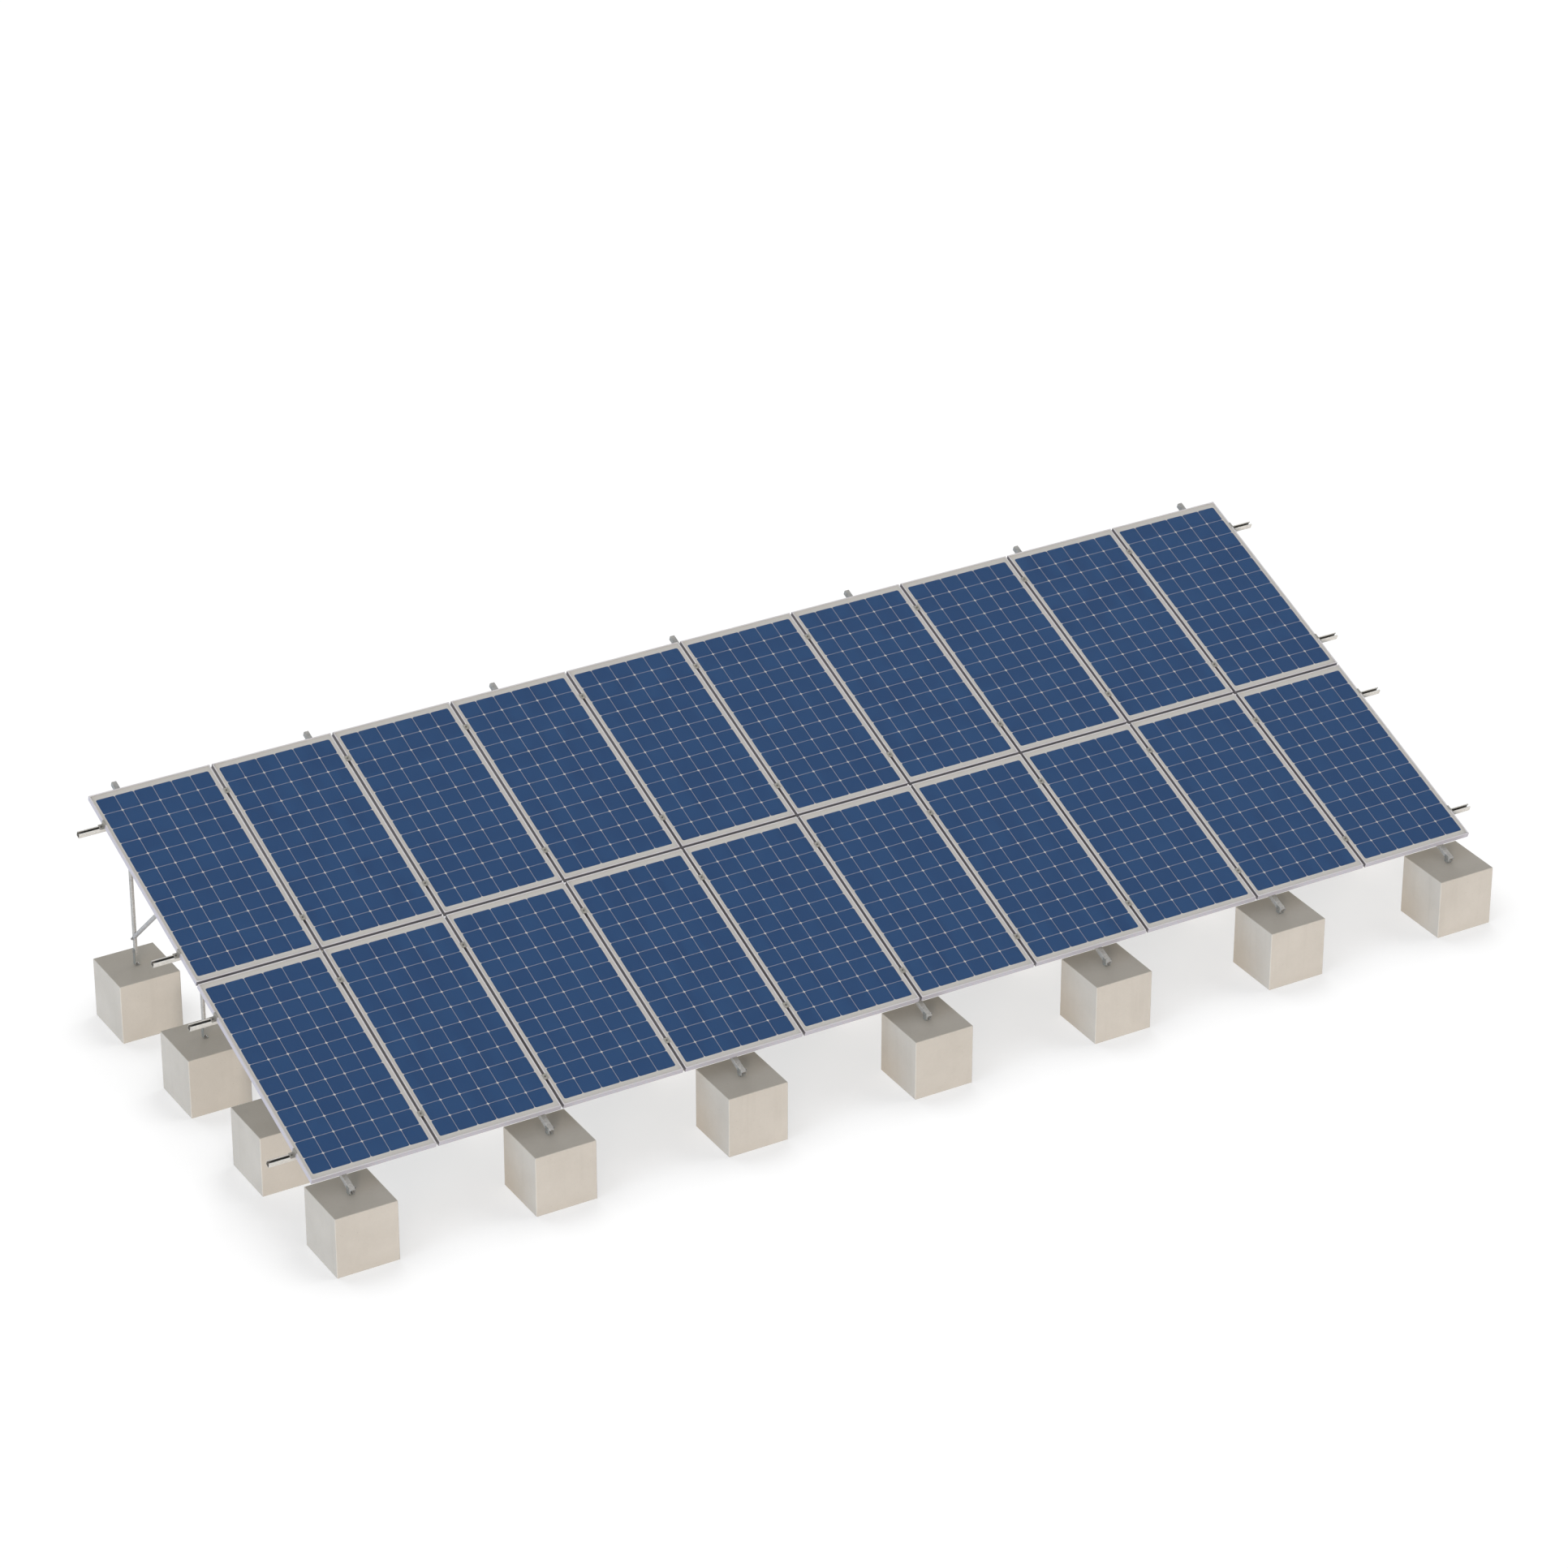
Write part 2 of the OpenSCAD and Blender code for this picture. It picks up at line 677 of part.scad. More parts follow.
// Moves children to each column gap on each rail, at the given height
module at_column_gaps(n) {
    on_slope() for (i = [1:columns - 1], s = rail_s) translate([gap_x(i), s, n]) children();
}

// Moves children to both ends of each rail; the right-hand ones are mirrored
module at_array_ends(x, n) {
    on_slope() for (s = rail_s, side = [0, 1])
        mirror([side, 0, 0]) translate([-x, s, n]) children();
}

module middle_clamps() {
    leg_x = column_gap / 2 - clamp_play;
    color("darkgray") at_column_gaps(module_top) difference() {
        rotate([90, 0, 0]) linear_extrude(clamp_l, center = true) {
            translate([-mid_clamp_w / 2, 0]) square([mid_clamp_w, clamp_t]);
            for (x = [-leg_x, leg_x - clamp_leg_t])
                translate([x, -clamp_leg_h]) square([clamp_leg_t, clamp_leg_h + clamp_t / 2]);
        }
        translate([0, 0, -cut]) cylinder(d = clamp_hole_d, h = clamp_t + 2 * cut);
    }
}

module middle_clamp_bolts() {
    color("dimgray") at_column_gaps(clamp_head_n) rotate([180, 0, 0])
        bolt(clamp_bolt_d, clamp_bolt_af, clamp_bolt_head_h, clamp_head_n - nut_base + clamp_bolt_tip);
}

// Stepped end clamp: lip on the module frame, wall beside it, foot on the rail
module end_clamps() {
    wall_x = array_w / 2 + clamp_play;
    color("darkgray") at_array_ends(wall_x, rail_top) difference() {
        rotate([90, 0, 0]) linear_extrude(clamp_l, center = true) {
            translate([-clamp_t, 0]) square([clamp_t, frame_h + clamp_t]);
            translate([-clamp_t, frame_h]) square([clamp_t + clamp_play + end_clamp_lip, clamp_t]);
            translate([-end_clamp_foot, 0]) square([end_clamp_foot, clamp_t]);
        }
        translate([wall_x - end_bolt_x, 0, -cut]) cylinder(d = clamp_hole_d, h = clamp_t + 2 * cut);
    }
}

module end_clamp_bolts() {
    color("dimgray") at_array_ends(end_bolt_x, end_foot_n) rotate([180, 0, 0])
        bolt(clamp_bolt_d, clamp_bolt_af, clamp_bolt_head_h, end_foot_n - nut_base + clamp_bolt_tip);
}

// Nut across the rail's mouth, drawn up against the turned-in lips
module channel_nut() {
    difference() {
        linear_extrude(channel_nut_t) intersection() {
            square([channel_nut_w, channel_nut_l], center = true);
            circle(d = channel_nut_l);
        }
        translate([0, 0, -cut]) cylinder(d = clamp_bolt_d + 2 * thread_gap, h = channel_nut_t + 2 * cut);
    }
}

module channel_nuts() {
    color("gray") {
        at_column_gaps(nut_base) channel_nut();
        at_array_ends(end_bolt_x, nut_base) channel_nut();
    }
}

for (r = [0:block_rows - 1])
    concrete_blocks_row(r);
anchor_studs();
front_feet();
post_feet();
for (r = [1:block_rows - 1])
    posts_row(r);
braces();
for (k = [0:trestles - 1])
    rafter(k);
for (q = [0:rails - 1])
    rail(q);
long_bolts();
short_bolts();
hex_nuts();
flat_washers();
for (j = [0:rows - 1], i = [0:columns - 1])
    module_frame(i, j);
frame_corner_keys();
glass_panes();
cell_strings(0);  // cell_strings_lower
cell_strings(1);  // cell_strings_upper
backsheets();
junction_boxes();
junction_box_lids();
cable_glands();
middle_clamps();
middle_clamp_bolts();
end_clamps();
end_clamp_bolts();
channel_nuts();
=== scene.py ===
"""Dress the ground-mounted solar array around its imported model.

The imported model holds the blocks, steelwork, module frames and fasteners. This script adds the
solar cells with their solder ribbons and the moulded and turned small parts, gives every piece
its finish, and sets up the plain studio and the camera. Lengths are metres, +Z is up.
"""
from __future__ import annotations

import logging
import math
from dataclasses import dataclass, field
from enum import Enum
from functools import cache, reduce
from typing import Any, Iterable, Mapping, Sequence
import bmesh
import bpy
from mathutils import Matrix, Vector


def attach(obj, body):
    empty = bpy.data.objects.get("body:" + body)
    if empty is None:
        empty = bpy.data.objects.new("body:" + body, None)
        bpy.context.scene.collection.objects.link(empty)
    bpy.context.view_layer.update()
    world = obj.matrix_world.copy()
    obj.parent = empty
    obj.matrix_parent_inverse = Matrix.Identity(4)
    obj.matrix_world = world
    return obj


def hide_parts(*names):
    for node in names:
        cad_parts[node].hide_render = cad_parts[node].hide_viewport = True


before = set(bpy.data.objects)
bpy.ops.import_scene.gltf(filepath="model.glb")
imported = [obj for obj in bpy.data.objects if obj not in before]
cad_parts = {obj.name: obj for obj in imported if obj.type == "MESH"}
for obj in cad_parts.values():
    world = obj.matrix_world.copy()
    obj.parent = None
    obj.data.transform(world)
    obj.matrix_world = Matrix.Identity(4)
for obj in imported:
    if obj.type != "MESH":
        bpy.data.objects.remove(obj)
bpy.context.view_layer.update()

LOG = logging.getLogger("solar_array")
BODY = "root"
MM = 0.001
WELD = 0.001 * MM
LEVEL = 0.99
Colour = tuple[float, float, float, float]


def srgb(red: int, green: int, blue: int) -> Colour:
    """Turn an 8-bit screen colour into the linear colour that a shader takes.

    Args:
        red: Red from 0 to 255.
        green: Green from 0 to 255.
        blue: Blue from 0 to 255.

    Returns:
        The linear colour, opaque.
    """
    def channel(value: int) -> float:
        """Linear value of one channel."""
        part = value / 255
        return part / 12.92 if part <= 0.04045 else ((part + 0.055) / 1.055) ** 2.4

    return channel(red), channel(green), channel(blue), 1.0


@dataclass(frozen=True)
class Layout:
    """The array's driving sizes and the places that follow from them."""

    tilt: float = math.radians(20)
    pivot: Vector = field(default_factory=lambda: Vector((0, -1.845, 0.522)))
    setback: float = 0.098
    module_w: float = 0.992
    module_l: float = 1.956
    gap: float = 0.020
    rail_top: float = 0.082
    shelf_top: float = 0.0335
    columns: int = 10
    rows: int = 2
    trestles: int = 7
    trestle_pitch: float = 1.600
    trestle_shift: float = 0.027
    block_rows: int = 4
    block_pitch: float = 1.230
    block_h: float = 0.500
    strut: float = 0.041
    strut_wall: float = 0.0025
    post_w: float = 0.021
    plate: float = 0.005
    cross_bolt: float = 0.018
    foot_bolt: float = 0.120
    brace_bolt: float = 0.235
    brace_reach: float = 0.895
    anchor_offset: float = 0.006
    rail_inset_outer: float = 0.287
    rail_inset_inner: float = 0.315

    @property
    def slope(self) -> Matrix:
        """The slope frame: X along the rails, Y up the slope, Z square to the modules."""
        return Matrix.Translation(self.pivot) @ Matrix.Rotation(self.tilt, 4, "X")

    def module_centre(self, column: int, row: int) -> Matrix:
        """Give the place of a module's middle.

        Args:
            column: Column from the left, from 0.
            row: Row from the bottom, from 0.

        Returns:
            The matrix from the module's own frame, on the rails' top, to the ground frame.
        """
        x = (column - (self.columns - 1) / 2) * (self.module_w + self.gap)
        s = self.setback + row * (self.module_l + self.gap) + self.module_l / 2
        return self.slope @ Matrix.Translation((x, s, self.rail_top))

    def centres(self) -> Iterable[Matrix]:
        """Find every module's place, the lower row first.

        Returns:
            The places, one at a time.
        """
        for row in range(self.rows):
            for column in range(self.columns):
                yield self.module_centre(column, row)

    @property
    def array_half(self) -> float:
        """Half the width of the rows of modules."""
        return (self.columns * (self.module_w + self.gap) - self.gap) / 2

    @property
    def rails(self) -> tuple[float, ...]:
        """The rails' places up the slope.

        Returns:
            The places, the lowest first.
        """
        starts = [self.setback + row * (self.module_l + self.gap) for row in range(self.rows)]
        low, high = starts[0], starts[-1]
        return (low + self.rail_inset_outer, low + self.module_l - self.rail_inset_inner,
                high + self.rail_inset_inner, high + self.module_l - self.rail_inset_outer)

    @property
    def axes(self) -> SlopeAxes:
        """The slope's axes, for finishes that follow the modules."""
        return SlopeAxes(self.tilt, tuple(self.pivot))

    def trestle_x(self, number: int) -> float:
        """A trestle's place along the rails, counted from 0 at the left."""
        return self.trestle_shift + (number - (self.trestles - 1) / 2) * self.trestle_pitch

    def block_y(self, row: int) -> float:
        """A block row's place, counted from 0 at the front."""
        return self.pivot.y + row * self.block_pitch

    def cross_z(self, y: float) -> float:
        """Height of a rafter's cross bolt above the ground at a place."""
        rise = (y - self.pivot.y) * math.tan(self.tilt)
        return self.pivot.z + rise + self.cross_bolt / math.cos(self.tilt)


class Wire:
    """A shader socket that takes part in Python arithmetic."""

    def __init__(self, kit: NodeKit, socket: bpy.types.NodeSocket) -> None:
        """Wrap one output socket.

        Args:
            socket: The output socket.
        """
        self.kit = kit
        self.socket = socket

    def _math(self, operation: str, *values: Any) -> Wire:
        """Add one Math node.

        Args:
            operation: The node's operation.
            values: The wires and numbers that it works on.

        Returns:
            The node's output.
        """
        sockets = dict(enumerate(values))
        made = self.kit.node("ShaderNodeMath", {"operation": operation}, sockets)
        return Wire(self.kit, made.outputs[0])

    def __add__(self, other: Any) -> Wire:
        """Sum of this and another value."""
        return self._math("ADD", self, other)

    def __radd__(self, other: Any) -> Wire:
        """Sum of another value and this."""
        return self._math("ADD", other, self)

    def __sub__(self, other: Any) -> Wire:
        """This less another value."""
        return self._math("SUBTRACT", self, other)

    def __rsub__(self, other: Any) -> Wire:
        """Another value less this."""
        return self._math("SUBTRACT", other, self)

    def __mul__(self, other: Any) -> Wire:
        """Product of this and another value."""
        return self._math("MULTIPLY", self, other)

    def __rmul__(self, other: Any) -> Wire:
        """Product of another value and this."""
        return self._math("MULTIPLY", other, self)

    def __truediv__(self, other: Any) -> Wire:
        """This divided by another value."""
        return self._math("DIVIDE", self, other)

    def __gt__(self, other: Any) -> Wire:
        """One where this is more than another value, or else zero."""
        return self._math("GREATER_THAN", self, other)

    def __lt__(self, other: Any) -> Wire:
        """One where this is less than another value, or else zero."""
        return self._math("LESS_THAN", self, other)

    def __abs__(self) -> Wire:
        """This without its sign."""
        return self._math("ABSOLUTE", self)

    def floor(self) -> Wire:
        """The whole number at or below this."""
        return self._math("FLOOR", self)

    def fract(self) -> Wire:
        """What is left above the whole number."""
        return self._math("FRACT", self)

    def highest(self, other: Any) -> Wire:
        """The higher of this and another value."""
        return self._math("MAXIMUM", self, other)


class NodeKit:
    """Adds nodes to one material's or world's tree."""

    def __init__(self, tree: bpy.types.NodeTree) -> None:
        """Start with an empty tree.

        Args:
            tree: The node tree to fill.
        """
        self.tree = tree
        tree.nodes.clear()

    def node(self, kind: str, settings: Mapping[str, Any] | None = None,
             sockets: Mapping[str | int, Any] | None = None) -> bpy.types.Node:
        """Add a node, set it up, then fill its sockets.

        Args:
            kind: The node's type.
            settings: Its settings, with a ramp's stops under the name stops.
            sockets: Values or wires by the socket's name or number.

        Returns:
            The new node.
        """
        made = self.tree.nodes.new(kind)
        for key, value in (settings or {}).items():
            if key == "stops":
                self._fill_ramp(made.color_ramp, value)
            else:
                setattr(made, key, value)
        for key, value in (sockets or {}).items():
            if isinstance(value, Wire):
                self.tree.links.new(value.socket, made.inputs[key])
            else:
                made.inputs[key].default_value = value
        return made

    @staticmethod
    def _fill_ramp(ramp: bpy.types.ColorRamp, stops: Sequence[tuple[float, float]]) -> None:
        """Set a grey ramp's stops.

        Args:
            ramp: The ramp.
            stops: Pairs of place and value.
        """
        while len(ramp.elements) < len(stops):
            ramp.elements.new(1.0)
        for element, (place, value) in zip(ramp.elements, stops):
            element.position = place
            element.color = (value, value, value, 1.0)

    def place(self, turn: Sequence[float] = (0, 0, 0), shift: Sequence[float] = (0, 0, 0),
              stretch: Sequence[float] = (1, 1, 1)) -> Wire:
        """Read the object's own coordinates, moved, turned and stretched.

        Args:
            turn: Turn about X, Y and Z in radians.
            shift: Shift in metres, added before the turn.
            stretch: Factor along each axis, after the turn.

        Returns:
            The coordinates.
        """
        coordinates = Wire(self, self.node("ShaderNodeTexCoord").outputs["Object"])
        moved = self.node("ShaderNodeVectorMath", {"operation": "ADD"},
                          {0: coordinates, 1: tuple(shift)})
        turned = self.node("ShaderNodeMapping", {"vector_type": "POINT"},
                           {"Vector": Wire(self, moved.outputs[0]), "Rotation": tuple(turn)})
        sized = self.node("ShaderNodeVectorMath", {"operation": "MULTIPLY"},
                          {0: Wire(self, turned.outputs[0]), 1: tuple(stretch)})
        return Wire(self, sized.outputs[0])

    def axes(self, vector: Wire) -> tuple[Wire, Wire, Wire]:
        """Split a vector into its three parts."""
        parts = self.node("ShaderNodeSeparateXYZ", None, {0: vector})
        return tuple(Wire(self, part) for part in parts.outputs)

    def seen(self) -> Wire:
        """One for camera, glossy and transmission rays, or else zero."""
        path = self.node("ShaderNodeLightPath")
        return reduce(Wire.highest, [Wire(self, path.outputs[f"Is {kind} Ray"])
                                     for kind in ("Camera", "Glossy", "Transmission")])

    def noise(self, vector: Wire, scale: float, detail: float = 4.0, rough: float = 0.55) -> Wire:
        """Soft noise from 0 to 1 at so many features a metre."""
        made = self.node("ShaderNodeTexNoise", None,
                         {"Vector": vector, "Scale": scale, "Detail": detail, "Roughness": rough})
        return Wire(self, made.outputs[0])

    def grains(self, vector: Wire, scale: float) -> bpy.types.Node:
        """Crystal-like patches at so many a metre."""
        return self.node("ShaderNodeTexVoronoi", None, {"Vector": vector, "Scale": scale})

    def ramp(self, value: Wire, *stops: tuple[float, float]) -> Wire:
        """Send a value through a grey ramp of up to a few stops."""
        made = self.node("ShaderNodeValToRGB", {"stops": stops}, {0: value})
        return Wire(self, made.outputs[0])

    def blend(self, factor: Wire | float, first: Wire | Colour, second: Wire | Colour) -> Wire:
        """Mix two colours.

        Args:
            factor: Share of the second colour.
            first: The first colour.
            second: The second colour.

        Returns:
            The mixed colour.
        """
        made = self.node("ShaderNodeMix", {"data_type": "RGBA"}, {0: factor, 6: first, 7: second})
        return Wire(self, made.outputs[2])

    def bump(self, height: Wire, distance: float, strength: float = 1.0) -> Wire:
        """Turn a height from 0 to 1 into a normal, at the given depth in metres."""
        made = self.node("ShaderNodeBump", None,
                         {"Height": height, "Distance": distance, "Strength": strength})
        return Wire(self, made.outputs[0])

    def surface(self, **sockets: Any) -> None:
        """Finish a material with one Principled shader.

        Args:
            sockets: The shader's sockets, with an underscore for each space.
        """
        named = {name.replace("_", " "): value for name, value in sockets.items()}
        shader = self.node("ShaderNodeBsdfPrincipled", None, named)
        self.node("ShaderNodeOutputMaterial", None, {0: Wire(self, shader.outputs[0])})


@dataclass(frozen=True)
class SlopeAxes:
    """The modules' slope, for a finish whose pattern follows it."""

    tilt: float
    pivot: tuple[float, float, float]

    def place(self, kit: NodeKit) -> Wire:
        """Read the coordinates along the rails, up the slope and off it."""
        return kit.place(turn=(-self.tilt, 0, 0), shift=[-value for value in self.pivot])


@dataclass(frozen=True)
class Finish:
    """A finish that one or more pieces take."""

    name: str

    @cache
    def material(self) -> bpy.types.Material:
        """Make the finish's material once, then give the same one.

        Returns:
            The material.
        """
        made = bpy.data.materials.new(self.name)
        made.use_nodes = True
        self.shade(NodeKit(made.node_tree))
        return made

    def shade(self, kit: NodeKit) -> None:
        """Add the finish's nodes."""
        raise NotImplementedError


@dataclass(frozen=True)
class CastConcrete(Finish):
    """Concrete struck from a steel mould: pale, with fine grain, air holes and stains; darker
    towards the bottom, with painted shade on the top face and in the air holes.
    """

    pale: Colour = srgb(208, 203, 194)
    dark: Colour = srgb(181, 176, 166)
    stain_and_shade: Colour = srgb(150, 143, 130)
    clouds: float = 2.2
    grains: float = 60.0
    sand: float = 420.0
    holes: float = 34.0
    hole_depth: float = 1.6 * MM
    runs: tuple[float, float, float] = (14, 14, 0.8)
    run_share: float = 0.25
    low_darkening_height: float = 0.16
    top: float = 0.499
    top_shade_share: float = 0.30

    def shade(self, kit: NodeKit) -> None:
        """Add the finish's nodes.
        """
        place = kit.place()
        cloud = kit.noise(place, self.clouds, 5.0, 0.6)
        grain = kit.noise(place, self.grains, 6.0, 0.7)
        sand = kit.noise(place, self.sand, 2.0)
        tone = kit.ramp(cloud * 0.75 + grain * 0.25, (0.32, 0.0), (0.72, 1.0))
        body = kit.blend(tone * 0.5, self.pale, self.dark)
        _, _, height = kit.axes(place)
        runs = kit.noise(kit.place(stretch=self.runs), 1.0, 3.0)
        # Darker towards the bottom of each block.
        darker_low = kit.ramp(height + cloud * 0.08, (0.02, 0.55), (self.low_darkening_height, 0.0))
        stained = kit.ramp(runs, (0.55, 0.0), (0.8, 0.35)).highest(darker_low * 0.45)
        marked = kit.blend(stained * self.run_share, body, self.stain_and_shade)
        # Painted shade: the top face is blended towards the stain colour, darker than the sides.
        shaded_top = kit.blend((height > self.top) * self.top_shade_share, marked, self.stain_and_shade)
        holes = Wire(kit, kit.grains(place, self.holes).outputs["Distance"])
        rim = kit.ramp(holes, (0.05, 0.0), (0.11, 1.0))
        rare = kit.noise(place, 9.0, 1.0) > 0.52
        whole = 1 - (1 - rim) * rare
        # Painted shade: the air holes are blended towards the stain colour.
        colour = kit.blend((1 - whole) * 0.45, shaded_top, self.stain_and_shade)
        relief = whole * 0.7 + sand * 0.12 + grain * 0.18
        kit.surface(Base_Color=colour, Roughness=0.86 + sand * 0.1, Specular_IOR_Level=0.25,
                    Normal=kit.bump(relief, self.hole_depth, 0.7))


@dataclass(frozen=True)
class Galvanised(Finish):
    """Zinc-coated steel with a faint spangle and soft patches of duller zinc."""

    tone: Colour = srgb(190, 189, 185)
    shadow: Colour = srgb(160, 159, 156)
    spangle: float = 85.0
    patches: float = 7.0
    scuffs: float = 60.0
    relief: float = 0.15 * MM
    gloss: float = 0.48
    metal: float = 0.35

    def shade(self, kit: NodeKit) -> None:
        """Add the finish's nodes.
        """
        place = kit.place()
        crystals = kit.grains(place, self.spangle)
        facet = kit.axes(Wire(kit, crystals.outputs["Color"]))[0]
        dull_and_channel_shade = kit.noise(place, self.patches, 4.0, 0.6)
        scuffs = kit.noise(place, self.scuffs, 6.0, 0.7)
        mixed = facet * 0.45 + dull_and_channel_shade * 0.55
        colour = kit.blend(kit.ramp(mixed, (0.2, 0.0), (0.85, 1.0)), self.tone, self.shadow)
        kit.surface(Base_Color=self.add_painted_shade(kit, colour), Metallic=self.metal,
                    Roughness=self.gloss + facet * 0.12 + scuffs * 0.1,
                    Normal=kit.bump(facet * 0.3 + scuffs * 0.7, self.relief, 0.5))

    def add_painted_shade(self, kit: NodeKit, colour: Wire) -> Wire:
        """Leave the zinc as it is."""
        return colour


@dataclass(frozen=True, kw_only=True)
class BrightRail(Galvanised):
    """Zinc on the rails, lighter than on the other channels, with painted shade inside the
    channel.
    """

    tone: Colour = srgb(230, 229, 224)
    shadow: Colour = srgb(208, 207, 202)
    metal: float = 0.25
    dull_and_channel_shade: Colour = srgb(92, 91, 87)
    channel_shade_share: float = 0.85
    slope: SlopeAxes
    rails: tuple[float, ...]
    middle: float
    hollow: float

    def add_painted_shade(self, kit: NodeKit, colour: Wire) -> Wire:
        """Paint shade inside each rail's channel.

        Args:
            colour: The bright zinc's colour.

        Returns:
            The colour, with painted shade in the channels.
        """
        _, along, up = kit.axes(self.slope.place(kit))
        deep = abs(up - self.middle) < self.hollow
        within = reduce(Wire.highest, [abs(along - rail) < self.hollow for rail in self.rails])
        # Painted shade: the inside of each rail's channel is blended to a dark grey.
        return kit.blend(within * deep * self.channel_shade_share, colour, self.dull_and_channel_shade)


@dataclass(frozen=True)
class Anodised(Finish):
    """Extruded aluminium with a satin anodised skin and fine die lines."""

    tone: Colour = srgb(228, 226, 226)
    shadow: Colour = srgb(216, 213, 215)
    line_width: float = 900.0
    line_run: float = 30.0
    relief: float = 0.04 * MM
    rough: float = 0.42
    metal: float = 0.2

    def shade(self, kit: NodeKit) -> None:
        """Add the finish's nodes.
        """
        fine, run = self.line_width, self.line_run
        lines = kit.noise(kit.place(stretch=(fine, run, fine)), 1.0, 3.0)
        cross = kit.noise(kit.place(stretch=(run, fine, fine)), 1.0, 3.0)
        cloud = kit.noise(kit.place(), 3.0, 3.0)
        brushed = lines * 0.5 + cross * 0.5
        mixed = kit.ramp(brushed * 0.4 + cloud * 0.6, (0.3, 0.0), (0.7, 1.0))
        colour = kit.blend(mixed, self.tone, self.shadow)
        kit.surface(Base_Color=self.add_painted_shade(kit, colour), Metallic=self.metal,
                    Roughness=self.rough + brushed * 0.12,
                    Normal=kit.bump(brushed, self.relief, 0.4))

    def add_painted_shade(self, kit: NodeKit, colour: Wire) -> Wire:
        """Add no painted shade; leave the skin as it is."""
        return colour


@dataclass(frozen=True, kw_only=True)
class FrameWithPaintedShade(Anodised):
    """Anodised frames with painted shade: darker lilac side faces, and dark grey in the gaps
    between the modules.
    """

    painted_flank_shade: Colour = srgb(194, 192, 201)
    dust_and_gap_shade: Colour = srgb(96, 93, 99)
    gap_shade_share: float = 0.75
    gap_shade_spread: float = 0.2
    reach: float = 0.011
    slope: SlopeAxes
    pitch: tuple[float, float]
    half_width: float
    row_gap: float

    def near_edge(self, value: Wire, pitch: float) -> Wire:
        """One on the modules' outer faces along an axis that counts from a gap's middle."""
        return abs(((value / pitch + 0.5).fract() - 0.5) * pitch) < self.reach

    def add_painted_shade(self, kit: NodeKit, colour: Wire) -> Wire:
        """Paint shade on the outer faces, darker and lilac, and dark grey in the gaps between the
        modules.

        Args:
            colour: The skin's colour before the painted shade.

        Returns:
            The colour with the painted shade on the faces and in the gaps.
        """
        back = self.slope.place(kit)
        across, along, _ = kit.axes(back)
        rise = along - self.row_gap
        columns = self.near_edge(across, self.pitch[0])
        rows = self.near_edge(rise, self.pitch[1])
        # Painted shade: the frames' side faces at each gap and at the array's ends are blended to
        # a darker lilac grey.
        shaded_flanks = kit.blend(columns.highest(rows), colour, self.painted_flank_shade)
        inside = abs(across) < self.half_width - self.reach
        between = (columns * inside).highest(abs(rise) < self.reach)
        film = kit.noise(back, 8.0, 3.0) * self.gap_shade_spread + self.gap_shade_share
        # Painted shade: the faces in the gaps between the modules are blended to dark grey, patchy
        # with noise.
        return kit.blend(between * film, shaded_flanks, self.dust_and_gap_shade)


@dataclass(frozen=True)
class PlatedSteel(Finish):
    """Plated or stainless fasteners, a little worn on their high spots."""

    tone: Colour = srgb(150, 149, 148)
    worn: Colour = srgb(182, 180, 176)
    wear: float = 160.0
    relief: float = 0.05 * MM
    rough: float = 0.36
    metal: float = 0.8

    def shade(self, kit: NodeKit) -> None:
        """Add the finish's nodes.
        """
        place = kit.place()
        wear = kit.ramp(kit.noise(place, self.wear, 5.0, 0.7), (0.45, 0.0), (0.7, 1.0))
        film = kit.noise(place, 30.0, 3.0)
        kit.surface(Base_Color=kit.blend(wear, self.tone, self.worn), Metallic=self.metal,
                    Roughness=self.rough + film * 0.2, Normal=kit.bump(wear, self.relief, 0.4))


@dataclass(frozen=True, kw_only=True)
class Silicon(Finish):
    """Dark blue monocrystalline cells with printed fingers and a slight spread of tone."""

    blue: Colour = srgb(55, 93, 143)
    deep: Colour = srgb(50, 85, 134)
    silver: Colour = srgb(190, 195, 200)
    finger_pitch: float = 2.2 * MM
    finger_width: float = 0.12
    finger_share: float = 0.05
    relief: float = 0.02 * MM
    slope: SlopeAxes
    pitch: float
    first: tuple[float, float]

    def shade(self, kit: NodeKit) -> None:
        """Add the finish's nodes.
        """
        across, along, _ = kit.axes(self.slope.place(kit))
        column = ((across - self.first[0]) / self.pitch).floor()
        rank = ((along - self.first[1]) / self.pitch).floor()
        index = kit.node("ShaderNodeCombineXYZ", None, {0: column, 1: rank})
        spread = kit.node("ShaderNodeTexWhiteNoise", {"noise_dimensions": "3D"},
                          {"Vector": Wire(kit, index.outputs[0])})
        film = kit.noise(kit.place(), 6.0, 3.0)
        tone = Wire(kit, spread.outputs["Value"]) * 0.45 + film * 0.55
        colour = kit.blend(kit.ramp(tone, (0.2, 0.0), (0.8, 1.0)), self.blue, self.deep)
        fingers = abs(((along / self.finger_pitch).fract() - 0.5) * 2) < self.finger_width
        printed = kit.blend(fingers * self.finger_share, colour, self.silver)
        kit.surface(Base_Color=printed, Roughness=0.42 + film * 0.1, Specular_IOR_Level=0.08,
                    Normal=kit.bump(fingers, self.relief, 0.3))


@dataclass(frozen=True)
class CoverGlass(Finish):
    """Clear tempered glass, lightly rolled, seen almost straight through."""

    tint: Colour = srgb(20, 26, 34)
    cover: float = 0.06
    rough: float = 0.22
    bending: float = 1.45
    rolling: float = 900.0
    relief: float = 0.02 * MM

    def shade(self, kit: NodeKit) -> None:
        """Add the finish's nodes."""
        roll = kit.noise(kit.place(), self.rolling, 2.0)
        kit.surface(Base_Color=self.tint, Alpha=self.cover, Roughness=self.rough,
                    IOR=self.bending, Normal=kit.bump(roll, self.relief, 0.2))


